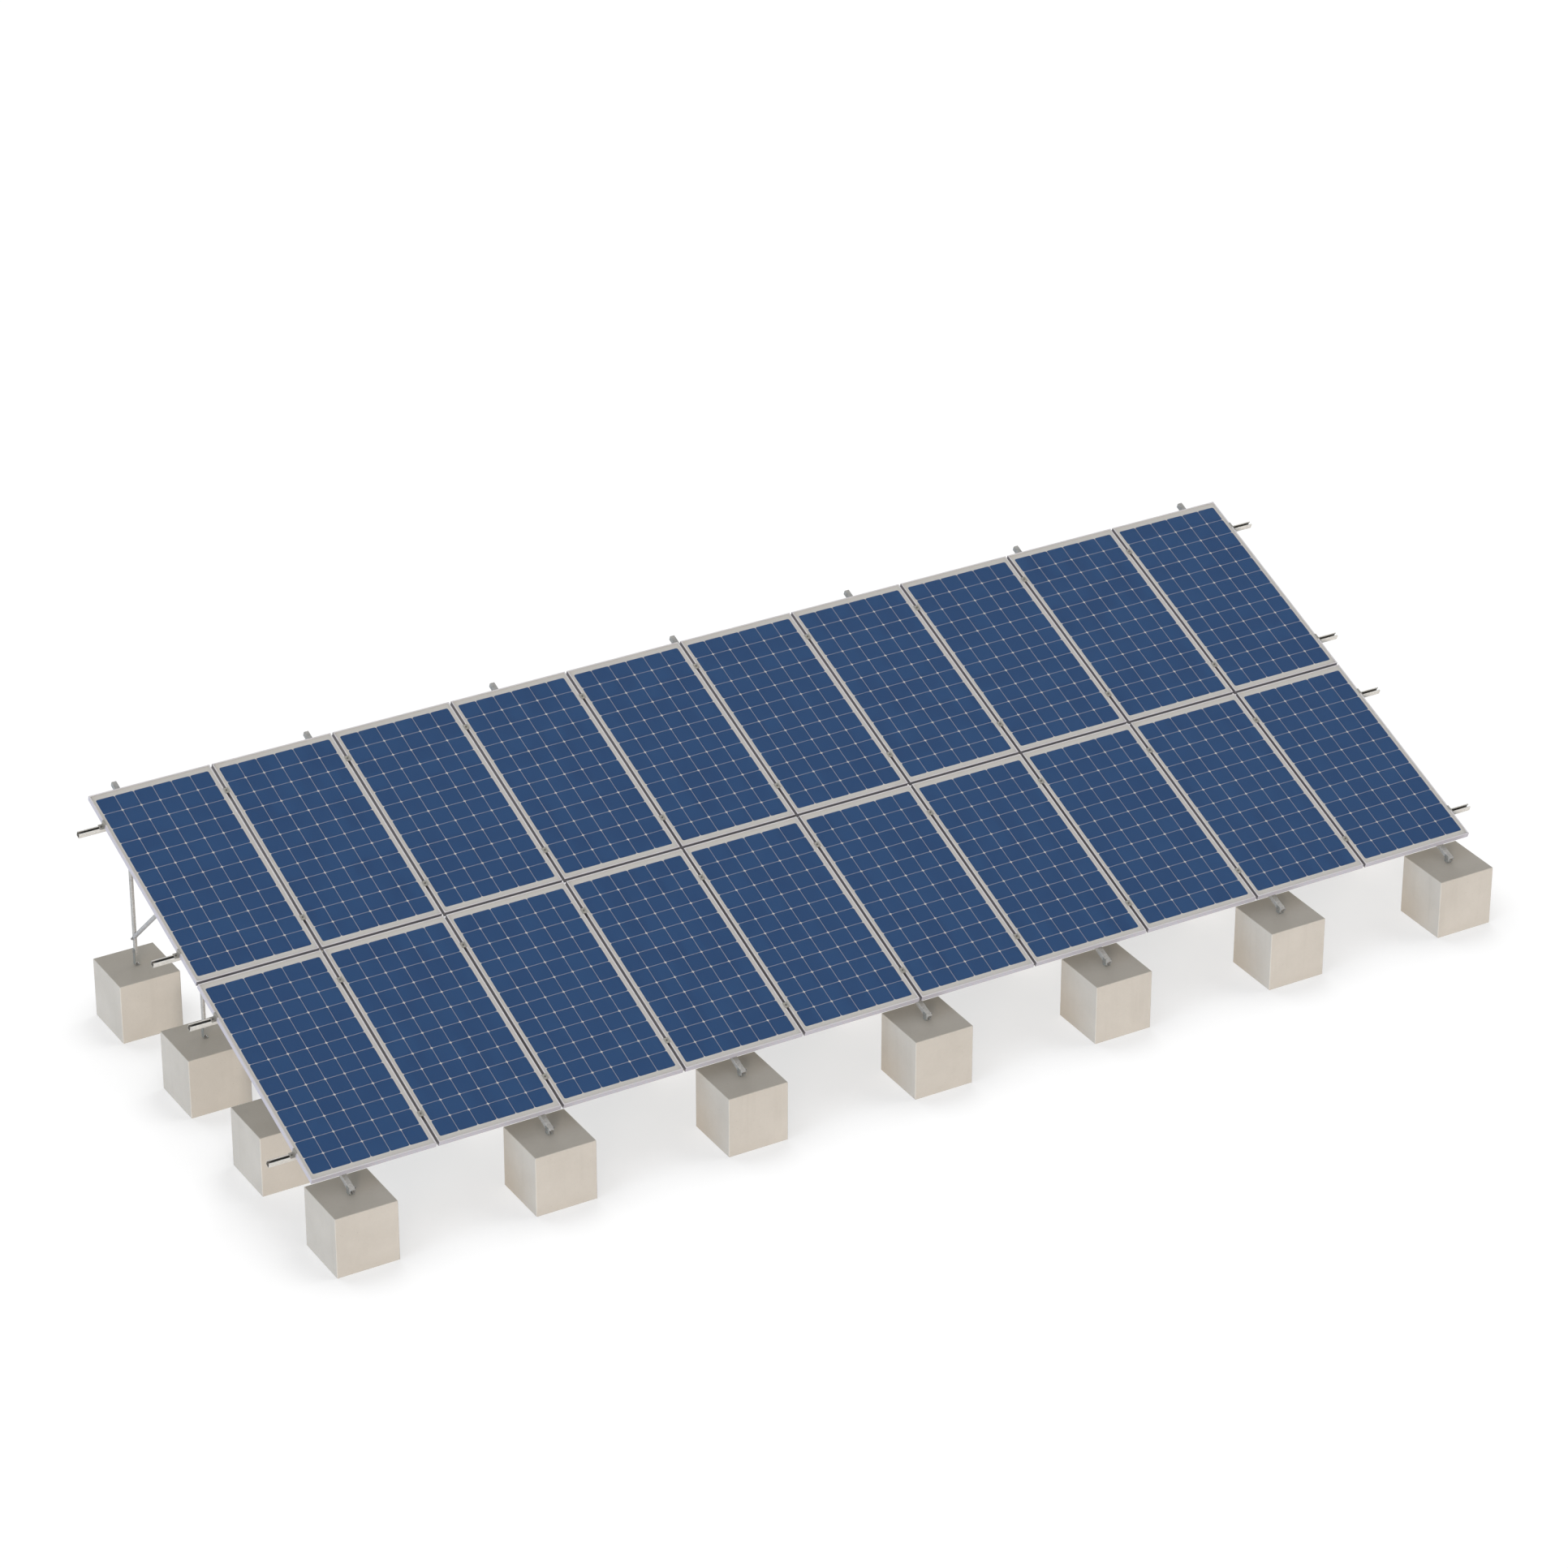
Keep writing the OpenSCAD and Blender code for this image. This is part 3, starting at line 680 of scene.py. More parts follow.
@dataclass(frozen=True)
class Laminate(Finish):
    """White backsheet with a faint grain."""

    white: Colour = srgb(236, 234, 228)
    shadow: Colour = srgb(222, 220, 214)
    grains: float = 700.0
    relief: float = 0.05 * MM

    def shade(self, kit: NodeKit) -> None:
        """Add the finish's nodes.
        """
        place = kit.place()
        cloud = kit.noise(place, 5.0, 3.0)
        grain = kit.noise(place, self.grains, 2.0)
        kit.surface(Base_Color=kit.blend(cloud * 0.3, self.white, self.shadow),
                    Roughness=0.5 + grain * 0.1, Normal=kit.bump(grain, self.relief, 0.3))


@dataclass(frozen=True)
class Moulded(Finish):
    """Black moulded plastic with a spark-eroded grain and a light dusting."""

    tone: Colour = srgb(38, 38, 39)
    dusty: Colour = srgb(96, 94, 90)
    grains: float = 900.0
    relief: float = 0.08 * MM

    def shade(self, kit: NodeKit) -> None:
        """Add the finish's nodes.
        """
        place = kit.place()
        grain = kit.noise(place, self.grains, 3.0)
        dust_and_gap_shade = kit.ramp(kit.noise(place, 12.0, 4.0, 0.7), (0.45, 0.0), (0.8, 0.25))
        kit.surface(Base_Color=kit.blend(dust_and_gap_shade, self.tone, self.dusty),
                    Roughness=0.5 + grain * 0.2, Normal=kit.bump(grain, self.relief, 0.5))


class Metal(Enum):
    """The steel and aluminium finishes, by where they are used."""

    CHANNEL = Galvanised("dipped_zinc_channel")
    TUBE = Galvanised("dipped_zinc_tube", tone=srgb(186, 187, 187), shadow=srgb(160, 161, 162),
                      spangle=70.0, gloss=0.45)
    PLATE = Galvanised("dipped_zinc_plate", tone=srgb(150, 152, 147), shadow=srgb(128, 129, 126),
                       spangle=95.0)
    CLAMP = Anodised("mill_aluminium", tone=srgb(166, 164, 158), shadow=srgb(146, 144, 138),
                     metal=0.6)
    RIBBON = PlatedSteel("tinned_copper", tone=srgb(74, 98, 132), worn=srgb(84, 108, 140),
                         rough=0.4)
    ZINC = PlatedSteel("zinc_plate")
    STAINLESS = PlatedSteel("stainless", tone=srgb(96, 94, 90), worn=srgb(126, 124, 119),
                            rough=0.3)


class Workshop:
    """Turns bmesh shapes into finished pieces on the model."""

    @staticmethod
    def mesh(name: str, shape: bmesh.types.BMesh) -> bpy.types.Mesh:
        """Close a bmesh into a mesh with its faces outwards.

        Args:
            name: The mesh's name.
            shape: The shape, which is used up.

        Returns:
            The mesh.
        """
        bmesh.ops.recalc_face_normals(shape, faces=shape.faces)
        made = bpy.data.meshes.new(name)
        shape.to_mesh(made)
        shape.free()
        return made

    @staticmethod
    def revolve(outline: Sequence[tuple[float, float]], steps: int) -> bmesh.types.BMesh:
        """Spin an outline about Z.

        Args:
            outline: Pairs of radius and height, the first and last on the axis.
            steps: Sides in the full turn.

        Returns:
            The closed solid.
        """
        shape = bmesh.new()
        points = [shape.verts.new((radius, 0, height)) for radius, height in outline]
        for start, end in zip(points, points[1:]):
            shape.edges.new((start, end))
        bmesh.ops.spin(shape, geom=shape.verts[:] + shape.edges[:], cent=(0, 0, 0), axis=(0, 0, 1),
                       angle=math.tau, steps=steps, use_merge=True)
        bmesh.ops.remove_doubles(shape, verts=shape.verts, dist=WELD)
        return shape

    @staticmethod
    def block(size: Sequence[float], centre: Sequence[float], bevel: float) -> bmesh.types.BMesh:
        """Build a box with bevelled edges.

        Args:
            size: Its size along each axis.
            centre: Its middle.
            bevel: Width of the bevels.

        Returns:
            The box.
        """
        shape = bmesh.new()
        bmesh.ops.create_cube(shape, size=1.0)
        bmesh.ops.scale(shape, vec=size, verts=shape.verts)
        bmesh.ops.translate(shape, vec=centre, verts=shape.verts)
        bmesh.ops.bevel(shape, geom=shape.edges[:], offset=bevel, segments=2, profile=0.5,
                        affect="EDGES", material=-1)
        return shape

    @classmethod
    def join(cls, name: str, shapes: Iterable[bmesh.types.BMesh]) -> bpy.types.Mesh:
        """Put several closed shapes in one mesh.

        Args:
            name: The mesh's name.
            shapes: The shapes, which are used up.

        Returns:
            The mesh.
        """
        whole = bmesh.new()
        for shape in shapes:
            part = cls.mesh(name, shape)
            whole.from_mesh(part)
            bpy.data.meshes.remove(part)
        made = bpy.data.meshes.new(name)
        whole.to_mesh(made)
        whole.free()
        return made

    @staticmethod
    def copies(name: str, template: bpy.types.Mesh, places: Iterable[Matrix]) -> bpy.types.Mesh:
        """Join copies of one mesh.

        Args:
            name: Name of the joined mesh.
            template: The mesh to copy, which is used up.
            places: Where each copy goes.

        Returns:
            The joined mesh.
        """
        joined = bmesh.new()
        for place in places:
            copy = template.copy()
            copy.transform(place)
            joined.from_mesh(copy)
            bpy.data.meshes.remove(copy)
        made = bpy.data.meshes.new(name)
        joined.to_mesh(made)
        joined.free()
        bpy.data.meshes.remove(template)
        return made

    @staticmethod
    def piece(mesh: bpy.types.Mesh, finish: Finish, slot: str, *replaced: str) -> bpy.types.Object:
        """Put a mesh on the model as a finished piece.

        Args:
            mesh: The piece's mesh, already in its place.
            finish: Its finish.
            slot: A material slot's name, which is not used.
            replaced: CAD nodes that it stands for.

        Returns:
            The piece.
        """
        made = bpy.data.objects.new(mesh.name, mesh)
        bpy.context.scene.collection.objects.link(made)
        mesh.materials.append(finish.material())
        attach(made, BODY)
        if replaced:
            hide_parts(*replaced)
        LOG.info("%s: %d faces", mesh.name, len(mesh.polygons))
        return made

    @staticmethod
    def dress(nodes: Iterable[str], finish: Finish) -> None:
        """Give CAD nodes a finish.

        Args:
            nodes: The nodes' names.
            finish: Their finish.
        """
        for name in nodes:
            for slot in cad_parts[name].material_slots:
                slot.material = finish.material()
            LOG.info("%s: %s", name, finish.name)


@dataclass
class ModuleGlass:
    """The laminate in each module: cells, solder ribbons, backsheet and cover glass."""

    layout: Layout
    cell: float = 0.1519
    cell_gap: float = 0.0024
    corner: float = 0.014
    corner_steps: int = 4
    across: int = 6
    along: int = 12
    bottom: float = 0.0341
    top: float = 0.0343
    ribbon_w: float = 0.0012
    ribbon_t: float = 0.00008
    ribbons: int = 4

    @property
    def pitch(self) -> float:
        """Distance between neighbouring cells."""
        return self.cell + self.cell_gap

    def finish(self) -> Silicon:
        """Make the cells' finish, with its pattern on the slope.

        Returns:
            The finish.
        """
        centre = self.layout.slope.inverted() @ self.layout.module_centre(0, 0).translation
        first = (centre.x - self.across / 2 * self.pitch, centre.y - self.along / 2 * self.pitch)
        return Silicon("silicon_cells", slope=self.layout.axes, pitch=self.pitch, first=first)

    def one_cell(self) -> bpy.types.Mesh:
        """Build one cell, with rounded corners, about the origin.

        Returns:
            The cell.
        """
        shape = bmesh.new()
        bmesh.ops.create_cube(shape, size=1.0)
        thick = self.top - self.bottom
        bmesh.ops.scale(shape, vec=(self.cell, self.cell, thick), verts=shape.verts)
        upright = [edge for edge in shape.edges
                   if abs(edge.verts[0].co.z - edge.verts[1].co.z) > thick / 2]
        bmesh.ops.bevel(shape, geom=upright, offset=self.corner, segments=self.corner_steps,
                        profile=0.5, affect="EDGES", material=-1)
        return Workshop.mesh("cell", shape)

    def cell_places(self) -> Iterable[Matrix]:
        """Find the cells' places in one module.

        Returns:
            The places, one at a time.
        """
        height = (self.bottom + self.top) / 2
        for column in range(self.across):
            for rank in range(self.along):
                x = (column - (self.across - 1) / 2) * self.pitch
                y = (rank - (self.along - 1) / 2) * self.pitch
                yield Matrix.Translation((x, y, height))

    def one_ribbon(self) -> bpy.types.Mesh:
        """Build one solder ribbon as long as a string, about the origin.

        Returns:
            The ribbon.
        """
        shape = bmesh.new()
        bmesh.ops.create_cube(shape, size=1.0)
        length = self.along * self.pitch + self.cell_gap
        bmesh.ops.scale(shape, vec=(self.ribbon_w, length, self.ribbon_t), verts=shape.verts)
        return Workshop.mesh("ribbon", shape)

    def ribbon_places(self) -> Iterable[Matrix]:
        """Find the ribbons' places in one module.

        Returns:
            The places, one at a time.
        """
        for column in range(self.across):
            for strip in range(self.ribbons):
                x = (column - (self.across - 1) / 2) * self.pitch
                x += (strip - (self.ribbons - 1) / 2) * self.cell / self.ribbons
                yield Matrix.Translation((x, 0, self.top + self.ribbon_t / 2))

    def build(self) -> None:
        """Add the cells and ribbons, and dress the glass and the backsheets."""
        modules = list(self.layout.centres())
        columns = self.layout.columns
        finish = self.finish()
        matrix = Workshop.copies("cell_matrix", self.one_cell(), self.cell_places())
        for name, row in (("lower", modules[:columns]), ("upper", modules[columns:])):
            mesh = Workshop.copies(f"solar_cells_{name}", matrix.copy(), row)
            Workshop.piece(mesh, finish, "solar_cells", f"cell_strings_{name}")
        strips = Workshop.copies("ribbon_strips", self.one_ribbon(), self.ribbon_places())
        mesh = Workshop.copies("solder_ribbons", strips, modules)
        Workshop.piece(mesh, Metal.RIBBON.value, "solar_cells")
        Workshop.dress(["glass_panes"], CoverGlass("clear_glass"))
        Workshop.dress(["backsheets"], Laminate("white_laminate"))


@dataclass(frozen=True)
class Thread:
    """One size of bolt, nut and stud."""

    diameter: float
    pitch: float
    across: float
    head: float
    nut: float
    washer: float = 0.0025
    chamfer_share: float = 0.485
    chamfer_angle: float = math.radians(30)
    chamfer_steps: int = 12
    depth_share: float = 0.61
    sides: int = 12

    def hexagon(self, height: float, *ends: int) -> bmesh.types.BMesh:
        """Build a hexagon on the XY plane, turned down at its corners.

        Args:
            height: Its height.
            ends: The ends to chamfer, 1 for the top and -1 for the bottom.

        Returns:
            The closed solid.
        """
        shape = bmesh.new()
        radius = self.across / math.sqrt(3)
        bmesh.ops.create_cone(shape, cap_ends=True, segments=6, radius1=radius, radius2=radius,
                              depth=height, matrix=Matrix.Rotation(math.tau / 12, 4, "Z"))
        for end in ends:
            over = Vector((0, 0, end))
            for step in range(self.chamfer_steps):
                turn = Matrix.Rotation(math.tau * step / self.chamfer_steps, 3, "Z")
                out = turn @ Vector((1, 0, 0))
                rim = out * self.across * self.chamfer_share + over * height / 2
                square = out * math.sin(self.chamfer_angle) + over * math.cos(self.chamfer_angle)
                whole = shape.verts[:] + shape.edges[:] + shape.faces[:]
                cut = bmesh.ops.bisect_plane(shape, geom=whole, plane_co=rim, plane_no=square,
                                             clear_outer=True)
                edges = [item for item in cut["geom_cut"] if isinstance(item, bmesh.types.BMEdge)]
                bmesh.ops.edgeloop_fill(shape, edges=edges)
        bmesh.ops.translate(shape, vec=(0, 0, height / 2), verts=shape.verts)
        return shape

    def rod(self, bottom: float, top: float, thread: float) -> bmesh.types.BMesh:
        """Build a rod along Z whose last stretch is threaded.

        Args:
            bottom: Height of its plain end.
            top: Height of its threaded end.
            thread: Length of the threaded stretch.

        Returns:
            The closed solid.
        """
        crest = self.diameter / 2
        root = crest - self.depth_share * self.pitch
        turns = max(1, round(thread / self.pitch))
        outline = [(0, bottom), (crest, bottom)]
        for turn in range(turns):
            start = top - (turns - turn) * self.pitch
            outline += [(crest, start), (root, start + self.pitch / 2)]
        outline += [(root, top), (0, top)]
        return Workshop.revolve(outline, self.sides)

    def bolt(self, length: float, thread: float) -> bpy.types.Mesh:
        """Build a bolt along Z, its head below the origin.

        Args:
            length: Its length under the head.
            thread: Length of the threaded stretch.

        Returns:
            The bolt.
        """
        head = self.hexagon(self.head, -1)
        bmesh.ops.translate(head, vec=(0, 0, -self.head), verts=head.verts)
        return Workshop.join("bolt", (head, self.rod(0, length, thread)))

    def bored_nut(self) -> bpy.types.Mesh:
        """Build a nut on the XY plane, chamfered at both ends and bored through.

        Returns:
            The nut.
        """
        shape = self.hexagon(self.nut, -1, 1)
        shape.normal_update()
        lids = [face for face in shape.faces if abs(face.normal.z) > LEVEL]
        bmesh.ops.inset_region(shape, faces=lids, use_even_offset=True,
                               thickness=self.across * self.chamfer_share - self.diameter / 2)
        bmesh.ops.delete(shape, geom=lids, context="FACES")
        bmesh.ops.bridge_loops(shape, edges=[edge for edge in shape.edges if edge.is_boundary])
        return Workshop.mesh("nut", shape)


@dataclass
class Fasteners:
    """The bolts, studs and nuts, with turned corners and cut threads."""

    layout: Layout
    large: Thread = Thread(0.012, 0.00175, 0.019, 0.0075, 0.010)
    small: Thread = Thread(0.008, 0.00125, 0.013, 0.0053, 0.0065)
    long_bolt: float = 0.065
    short_bolt: float = 0.025
    anchor_depth: float = 0.090
    stud_tip: float = 0.003
    clamp_top: float = 0.126
    foot_top: float = 0.086
    clamp_tip: float = 0.0615
    clamp_thread: float = 0.011
    end_bolt: float = 0.0205

    @staticmethod
    def _seat(place: Sequence[float], turn: float, axis: str = "Y") -> Matrix:
        """A bearing face's place, with +Z out of it."""
        return Matrix.Translation(place) @ Matrix.Rotation(turn, 4, axis)

    def across_rafters(self) -> Iterable[tuple[Matrix, float]]:
        """Find each long bolt's bearing face under its washer, and the thickness that it holds.

        Returns:
            Pairs of place and thickness, one at a time.
        """
        at = self.layout
        rows = [at.block_y(row) for row in range(at.block_rows)]
        spots = [(y, at.plate if y == rows[0] else 0.0) for y in rows]
        spots.append((rows[-1] - at.brace_reach, at.plate))
        for k in range(at.trestles):
            for y, outer in spots:
                place = (at.trestle_x(k) + at.strut / 2, y, at.cross_z(y))
                yield self._seat(place, math.pi / 2), at.strut + outer

    def in_plates(self) -> Iterable[tuple[Matrix, float]]:
        """Find each short bolt's bearing face under its washer, and the thickness that it holds.

        Returns:
            Pairs of place and thickness, one at a time.
        """
        at = self.layout
        grip = at.plate + at.strut_wall
        for k in range(at.trestles):
            x = at.trestle_x(k)
            side = x - at.post_w / 2
            for row in range(1, at.block_rows):
                place = (side + at.strut_wall, at.block_y(row), at.block_h + at.foot_bolt)
                yield self._seat(place, math.pi / 2), grip
            place = (side - at.plate, at.block_y(at.block_rows - 1), at.block_h + at.brace_bolt)
            yield self._seat(place, -math.pi / 2), grip
            for s in at.rails:
                place = (x, s, at.strut - at.strut_wall)
                yield at.slope @ self._seat(place, math.pi, "X"), 2 * at.strut_wall

    def on_blocks(self) -> Iterable[Matrix]:
        """Find each anchor stud's place on its block's top.

        Returns:
            The places, one at a time.
        """
        at = self.layout
        for k in range(at.trestles):
            for row in range(at.block_rows):
                x = at.trestle_x(k) + (at.anchor_offset if row else 0)
                yield Matrix.Translation((x, at.block_y(row), at.block_h))

    def over_gaps(self) -> Iterable[Matrix]:
        """Find each middle clamp bolt's place, its thread down.

        Returns:
            The places, one at a time.
        """
        at = self.layout
        for column in range(1, at.columns):
            x = column * (at.module_w + at.gap) - at.gap / 2 - at.array_half
            for s in at.rails:
                yield at.slope @ self._seat((x, s, self.clamp_top), math.pi, "X")

    def at_ends(self) -> Iterable[Matrix]:
        """Find each end clamp bolt's place, its thread down.

        Returns:
            The places, one at a time.
        """
        at = self.layout
        for side in (-1, 1):
            for s in at.rails:
                x = side * (at.array_half + self.end_bolt)
                yield at.slope @ self._seat((x, s, self.foot_top), math.pi, "X")

    def build(self) -> None:
        """Put every fastener in its place and replace the plain ones."""
        long, short = list(self.across_rafters()), list(self.in_plates())
        lift = Matrix.Translation((0, 0, self.large.washer))
        plate = Matrix.Translation((0, 0, self.layout.plate))
        seats = [seat @ lift for seat, _ in (*long, *short)]
        seats += [place @ plate @ lift for place in self.on_blocks()]
        self._lay("hexagon_nuts", self.large.bored_nut(), seats, "hex_nuts")
        for name, length, group in (("long_bolts", self.long_bolt, long),
                                    ("short_bolts", self.short_bolt, short)):
            thread = length - min(grip for _, grip in group) - self.large.washer - self.large.nut
            places = [seat @ Matrix.Translation((0, 0, -grip)) for seat, grip in group]
            self._lay(f"threaded_{name}", self.large.bolt(length, thread), places, name)
        reach = self.layout.plate + self.large.washer + self.large.nut + self.stud_tip
        stud = Workshop.mesh("stud", self.large.rod(-self.anchor_depth, reach, 3 * self.stud_tip))
        self._lay("threaded_studs", stud, self.on_blocks(), "anchor_studs", Metal.STAINLESS)
        for name, top, group in (("middle_clamp_bolts", self.clamp_top, self.over_gaps()),
                                 ("end_clamp_bolts", self.foot_top, self.at_ends())):
            template = self.small.bolt(top - self.clamp_tip, self.clamp_thread)
            self._lay(f"hexagon_{name}", template, group, name, Metal.STAINLESS)

    @staticmethod
    def _lay(name: str, template: bpy.types.Mesh, places: Iterable[Matrix], replaced: str,
             metal: Metal = Metal.ZINC) -> None:
        """Put copies of one fastener on the model in place of a plain CAD node.

        Args:
            name: The new piece's name.
            template: The fastener, which is used up.
            places: Where each copy goes.
            replaced: The CAD node.
            metal: The fastener's finish.
        """
        mesh = Workshop.copies(name, template, places)
        slot = "zinc_fasteners" if metal is Metal.ZINC else "stainless_steel"
        Workshop.piece(mesh, metal.value, slot, replaced)


@dataclass
class BackBoxes:
    """The junction boxes, their lids and their blind glands."""

    layout: Layout
    width: float = 0.110
    length: float = 0.085
    height: float = 0.018
    bevel: float = 2 * MM
    ribs: int = 5
    rib_pitch: float = 14 * MM
    rib: tuple[float, float, float] = (3 * MM, 2.2 * MM, 14 * MM)
    rib_bevel: float = 0.6 * MM
    lid: float = 0.004
    lid_bevel: float = 1.2 * MM
    panel_inset: float = 7 * MM
    panel_slope: float = 0.8 * MM
    panel_depth: float = 1.2 * MM
    latch: tuple[float, float, float] = (14 * MM, 4.4 * MM, 9 * MM)
    latch_bevel: float = 0.8 * MM
    latch_offset: float = 30 * MM
    inset: float = 0.120
    gland: Thread = Thread(0.012, 0.0015, 0.014, 0.006, 0.006)
    gland_length: float = 0.022
    flutes: int = 12
    flute_inset: float = 0.3 * MM
    flute_depth: float = 0.4 * MM

    def places(self) -> Iterable[Matrix]:
        """Find each box's place under its backsheet.

        Returns:
            The places, one at a time.
        """
        below = (0, self.layout.module_l / 2 - self.inset, self.layout.shelf_top)
        for centre in self.layout.centres():
            yield centre @ Matrix.Translation(below)

    def base(self) -> bpy.types.Mesh:
        """Build a box with stiffening ribs along its two plain sides.

        Returns:
            The box.
        """
        middle = -self.height / 2
        size = (self.width, self.length, self.height)
        shapes = [Workshop.block(size, (0, 0, middle), self.bevel)]
        for side in (-1, 1):
            for rank in range(self.ribs):
                y = (rank - (self.ribs - 1) / 2) * self.rib_pitch
                centre = (side * self.width / 2, y, middle)
                shapes.append(Workshop.block(self.rib, centre, self.rib_bevel))
        return Workshop.join("box", shapes)

    def cover(self) -> bpy.types.Mesh:
        """Build a lid with a sunk panel and a latch at each corner.

        Returns:
            The lid.
        """
        size = (self.width - 2 * self.lid, self.length - 2 * self.lid, self.lid)
        plate = Workshop.block(size, (0, 0, -self.height - self.lid / 2), self.lid_bevel)
        plate.normal_update()
        lower = [face for face in plate.faces if face.normal.z < -LEVEL]
        panel = [max(lower, key=lambda face: face.calc_area())]
        bmesh.ops.inset_region(plate, faces=panel, thickness=self.panel_inset)
        bmesh.ops.inset_region(plate, faces=panel, thickness=self.panel_slope,
                               depth=-self.panel_depth)
        shapes = [plate]
        for across in (-1, 1):
            for along in (-1, 1):
                y = along * (self.length / 2 - 1.5 * MM)
                centre = (across * self.latch_offset, y, -self.height + 1 * MM)
                shapes.append(Workshop.block(self.latch, centre, self.latch_bevel))
        return Workshop.join("lid", shapes)

    def blind_gland(self) -> bpy.types.Mesh:
        """Build a gland with a fluted cap, a blind plug and a hexagonal collar.

        Returns:
            The gland.
        """
        wide = self.gland.diameter / 2
        far = self.gland_length
        outline = ((0, 5 * MM), (wide - MM, 5 * MM), (wide - MM, 7.5 * MM), (wide, 8 * MM),
                   (wide, 15 * MM), (wide - 0.8 * MM, 18.5 * MM), (wide - 2.2 * MM, far),
                   (2.8 * MM, far), (2.4 * MM, far - 2 * MM), (0, far - 2 * MM))
        cap = Workshop.revolve(outline, 2 * self.flutes)
        cap.normal_update()
        sides = [face for face in cap.faces
                 if abs(face.normal.z) < 0.1 and 10 * MM < face.calc_center_median().z < 13 * MM]
        sides.sort(key=lambda face: math.atan2(face.normal.y, face.normal.x))
        bmesh.ops.inset_individual(cap, faces=sides[::2], thickness=self.flute_inset,
                                   depth=-self.flute_depth)
        return Workshop.join("gland", (self.gland.hexagon(self.gland.nut, 1), cap))

    def build(self) -> None:
        """Put the boxes, lids and glands under the modules."""
        places = list(self.places())
        exits = [place @ Matrix.Translation((side * self.width / 4, -self.length / 2,
                                             -self.height / 2))
                 @ Matrix.Rotation(math.pi / 2, 4, "X") for place in places for side in (-1, 1)]
        black = Moulded("moulded_plastic")
        for name, template, group, replaced in (
                ("ribbed_boxes", self.base(), places, "junction_boxes"),
                ("latched_lids", self.cover(), places, "junction_box_lids"),
                ("fluted_glands", self.blind_gland(), exits, "cable_glands")):
            mesh = Workshop.copies(name, template, group)
            Workshop.piece(mesh, black, "black_plastic", replaced)


@dataclass
class Steelwork:
    """The blocks, feet, posts, braces, rafters and rails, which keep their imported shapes."""

    layout: Layout
    skin: float = 0.4 * MM

    def rail_finish(self) -> BrightRail:
        """Make the rails' finish, with painted shade inside their channels.

        Returns:
            The finish.
        """
        at = self.layout
        hollow = at.strut / 2 - at.strut_wall + self.skin
        return BrightRail("dipped_zinc_rail", slope=at.axes, rails=at.rails,
                          middle=at.rail_top - at.strut / 2, hollow=hollow)

    def build(self) -> None:
        """Dress the blocks and the steel."""
        at = self.layout
        blocks = [f"concrete_blocks_row_{row + 1}" for row in range(at.block_rows)]
        rails = [f"rail_{number + 1}" for number in range(len(at.rails))]
        channel = [f"rafter_{number + 1}" for number in range(at.trestles)]
        channel += [f"posts_row_{row + 1}" for row in range(1, at.block_rows)]
        Workshop.dress(blocks, CastConcrete("cast_concrete"))
        Workshop.dress(channel, Metal.CHANNEL.value)
        Workshop.dress(rails, self.rail_finish())
        Workshop.dress(["braces"], Metal.TUBE.value)
        Workshop.dress(["front_feet", "post_feet"], Metal.PLATE.value)
        Workshop.dress(["flat_washers"], Metal.ZINC.value)


@dataclass
class ModuleFrames:
    """The module frames with their corner keys and clamps."""

    layout: Layout

    def finish(self) -> FrameWithPaintedShade:
        """Make the frames' finish, with painted shade in the gaps and on the side faces.

        Returns:
            The finish.
        """
        at = self.layout
        return FrameWithPaintedShade("anodised_frame", slope=at.axes,
                          pitch=(at.module_w + at.gap, at.module_l + at.gap),
                          half_width=at.array_half, row_gap=at.setback + at.module_l + at.gap / 2)

    def build(self) -> None:
        """Dress the frames and what is fixed to them."""
        count = self.layout.rows * self.layout.columns
        Workshop.dress([f"module_frame_{m + 1}" for m in range(count)], self.finish())
        Workshop.dress(["frame_corner_keys", "middle_clamps", "end_clamps"], Metal.CLAMP.value)
        Workshop.dress(["channel_nuts"], Metal.STAINLESS.value)


@dataclass(frozen=True)
class Lamp:
    """One broad, distant lamp, its bearing in degrees left of the array's front."""

    name: str
    bearing: float
    height: float
    spread: float
    strength: float
    tint: tuple[float, float, float]

    def build(self) -> None:
        """Hang the lamp."""
        lamp = bpy.data.lights.new(self.name, "SUN")
        lamp.energy = self.strength
        lamp.angle = math.radians(self.spread)
        lamp.color = self.tint
        made = bpy.data.objects.new(self.name, lamp)
        made.rotation_euler = (math.radians(90 - self.height), 0, -math.radians(self.bearing))
        bpy.context.scene.collection.objects.link(made)


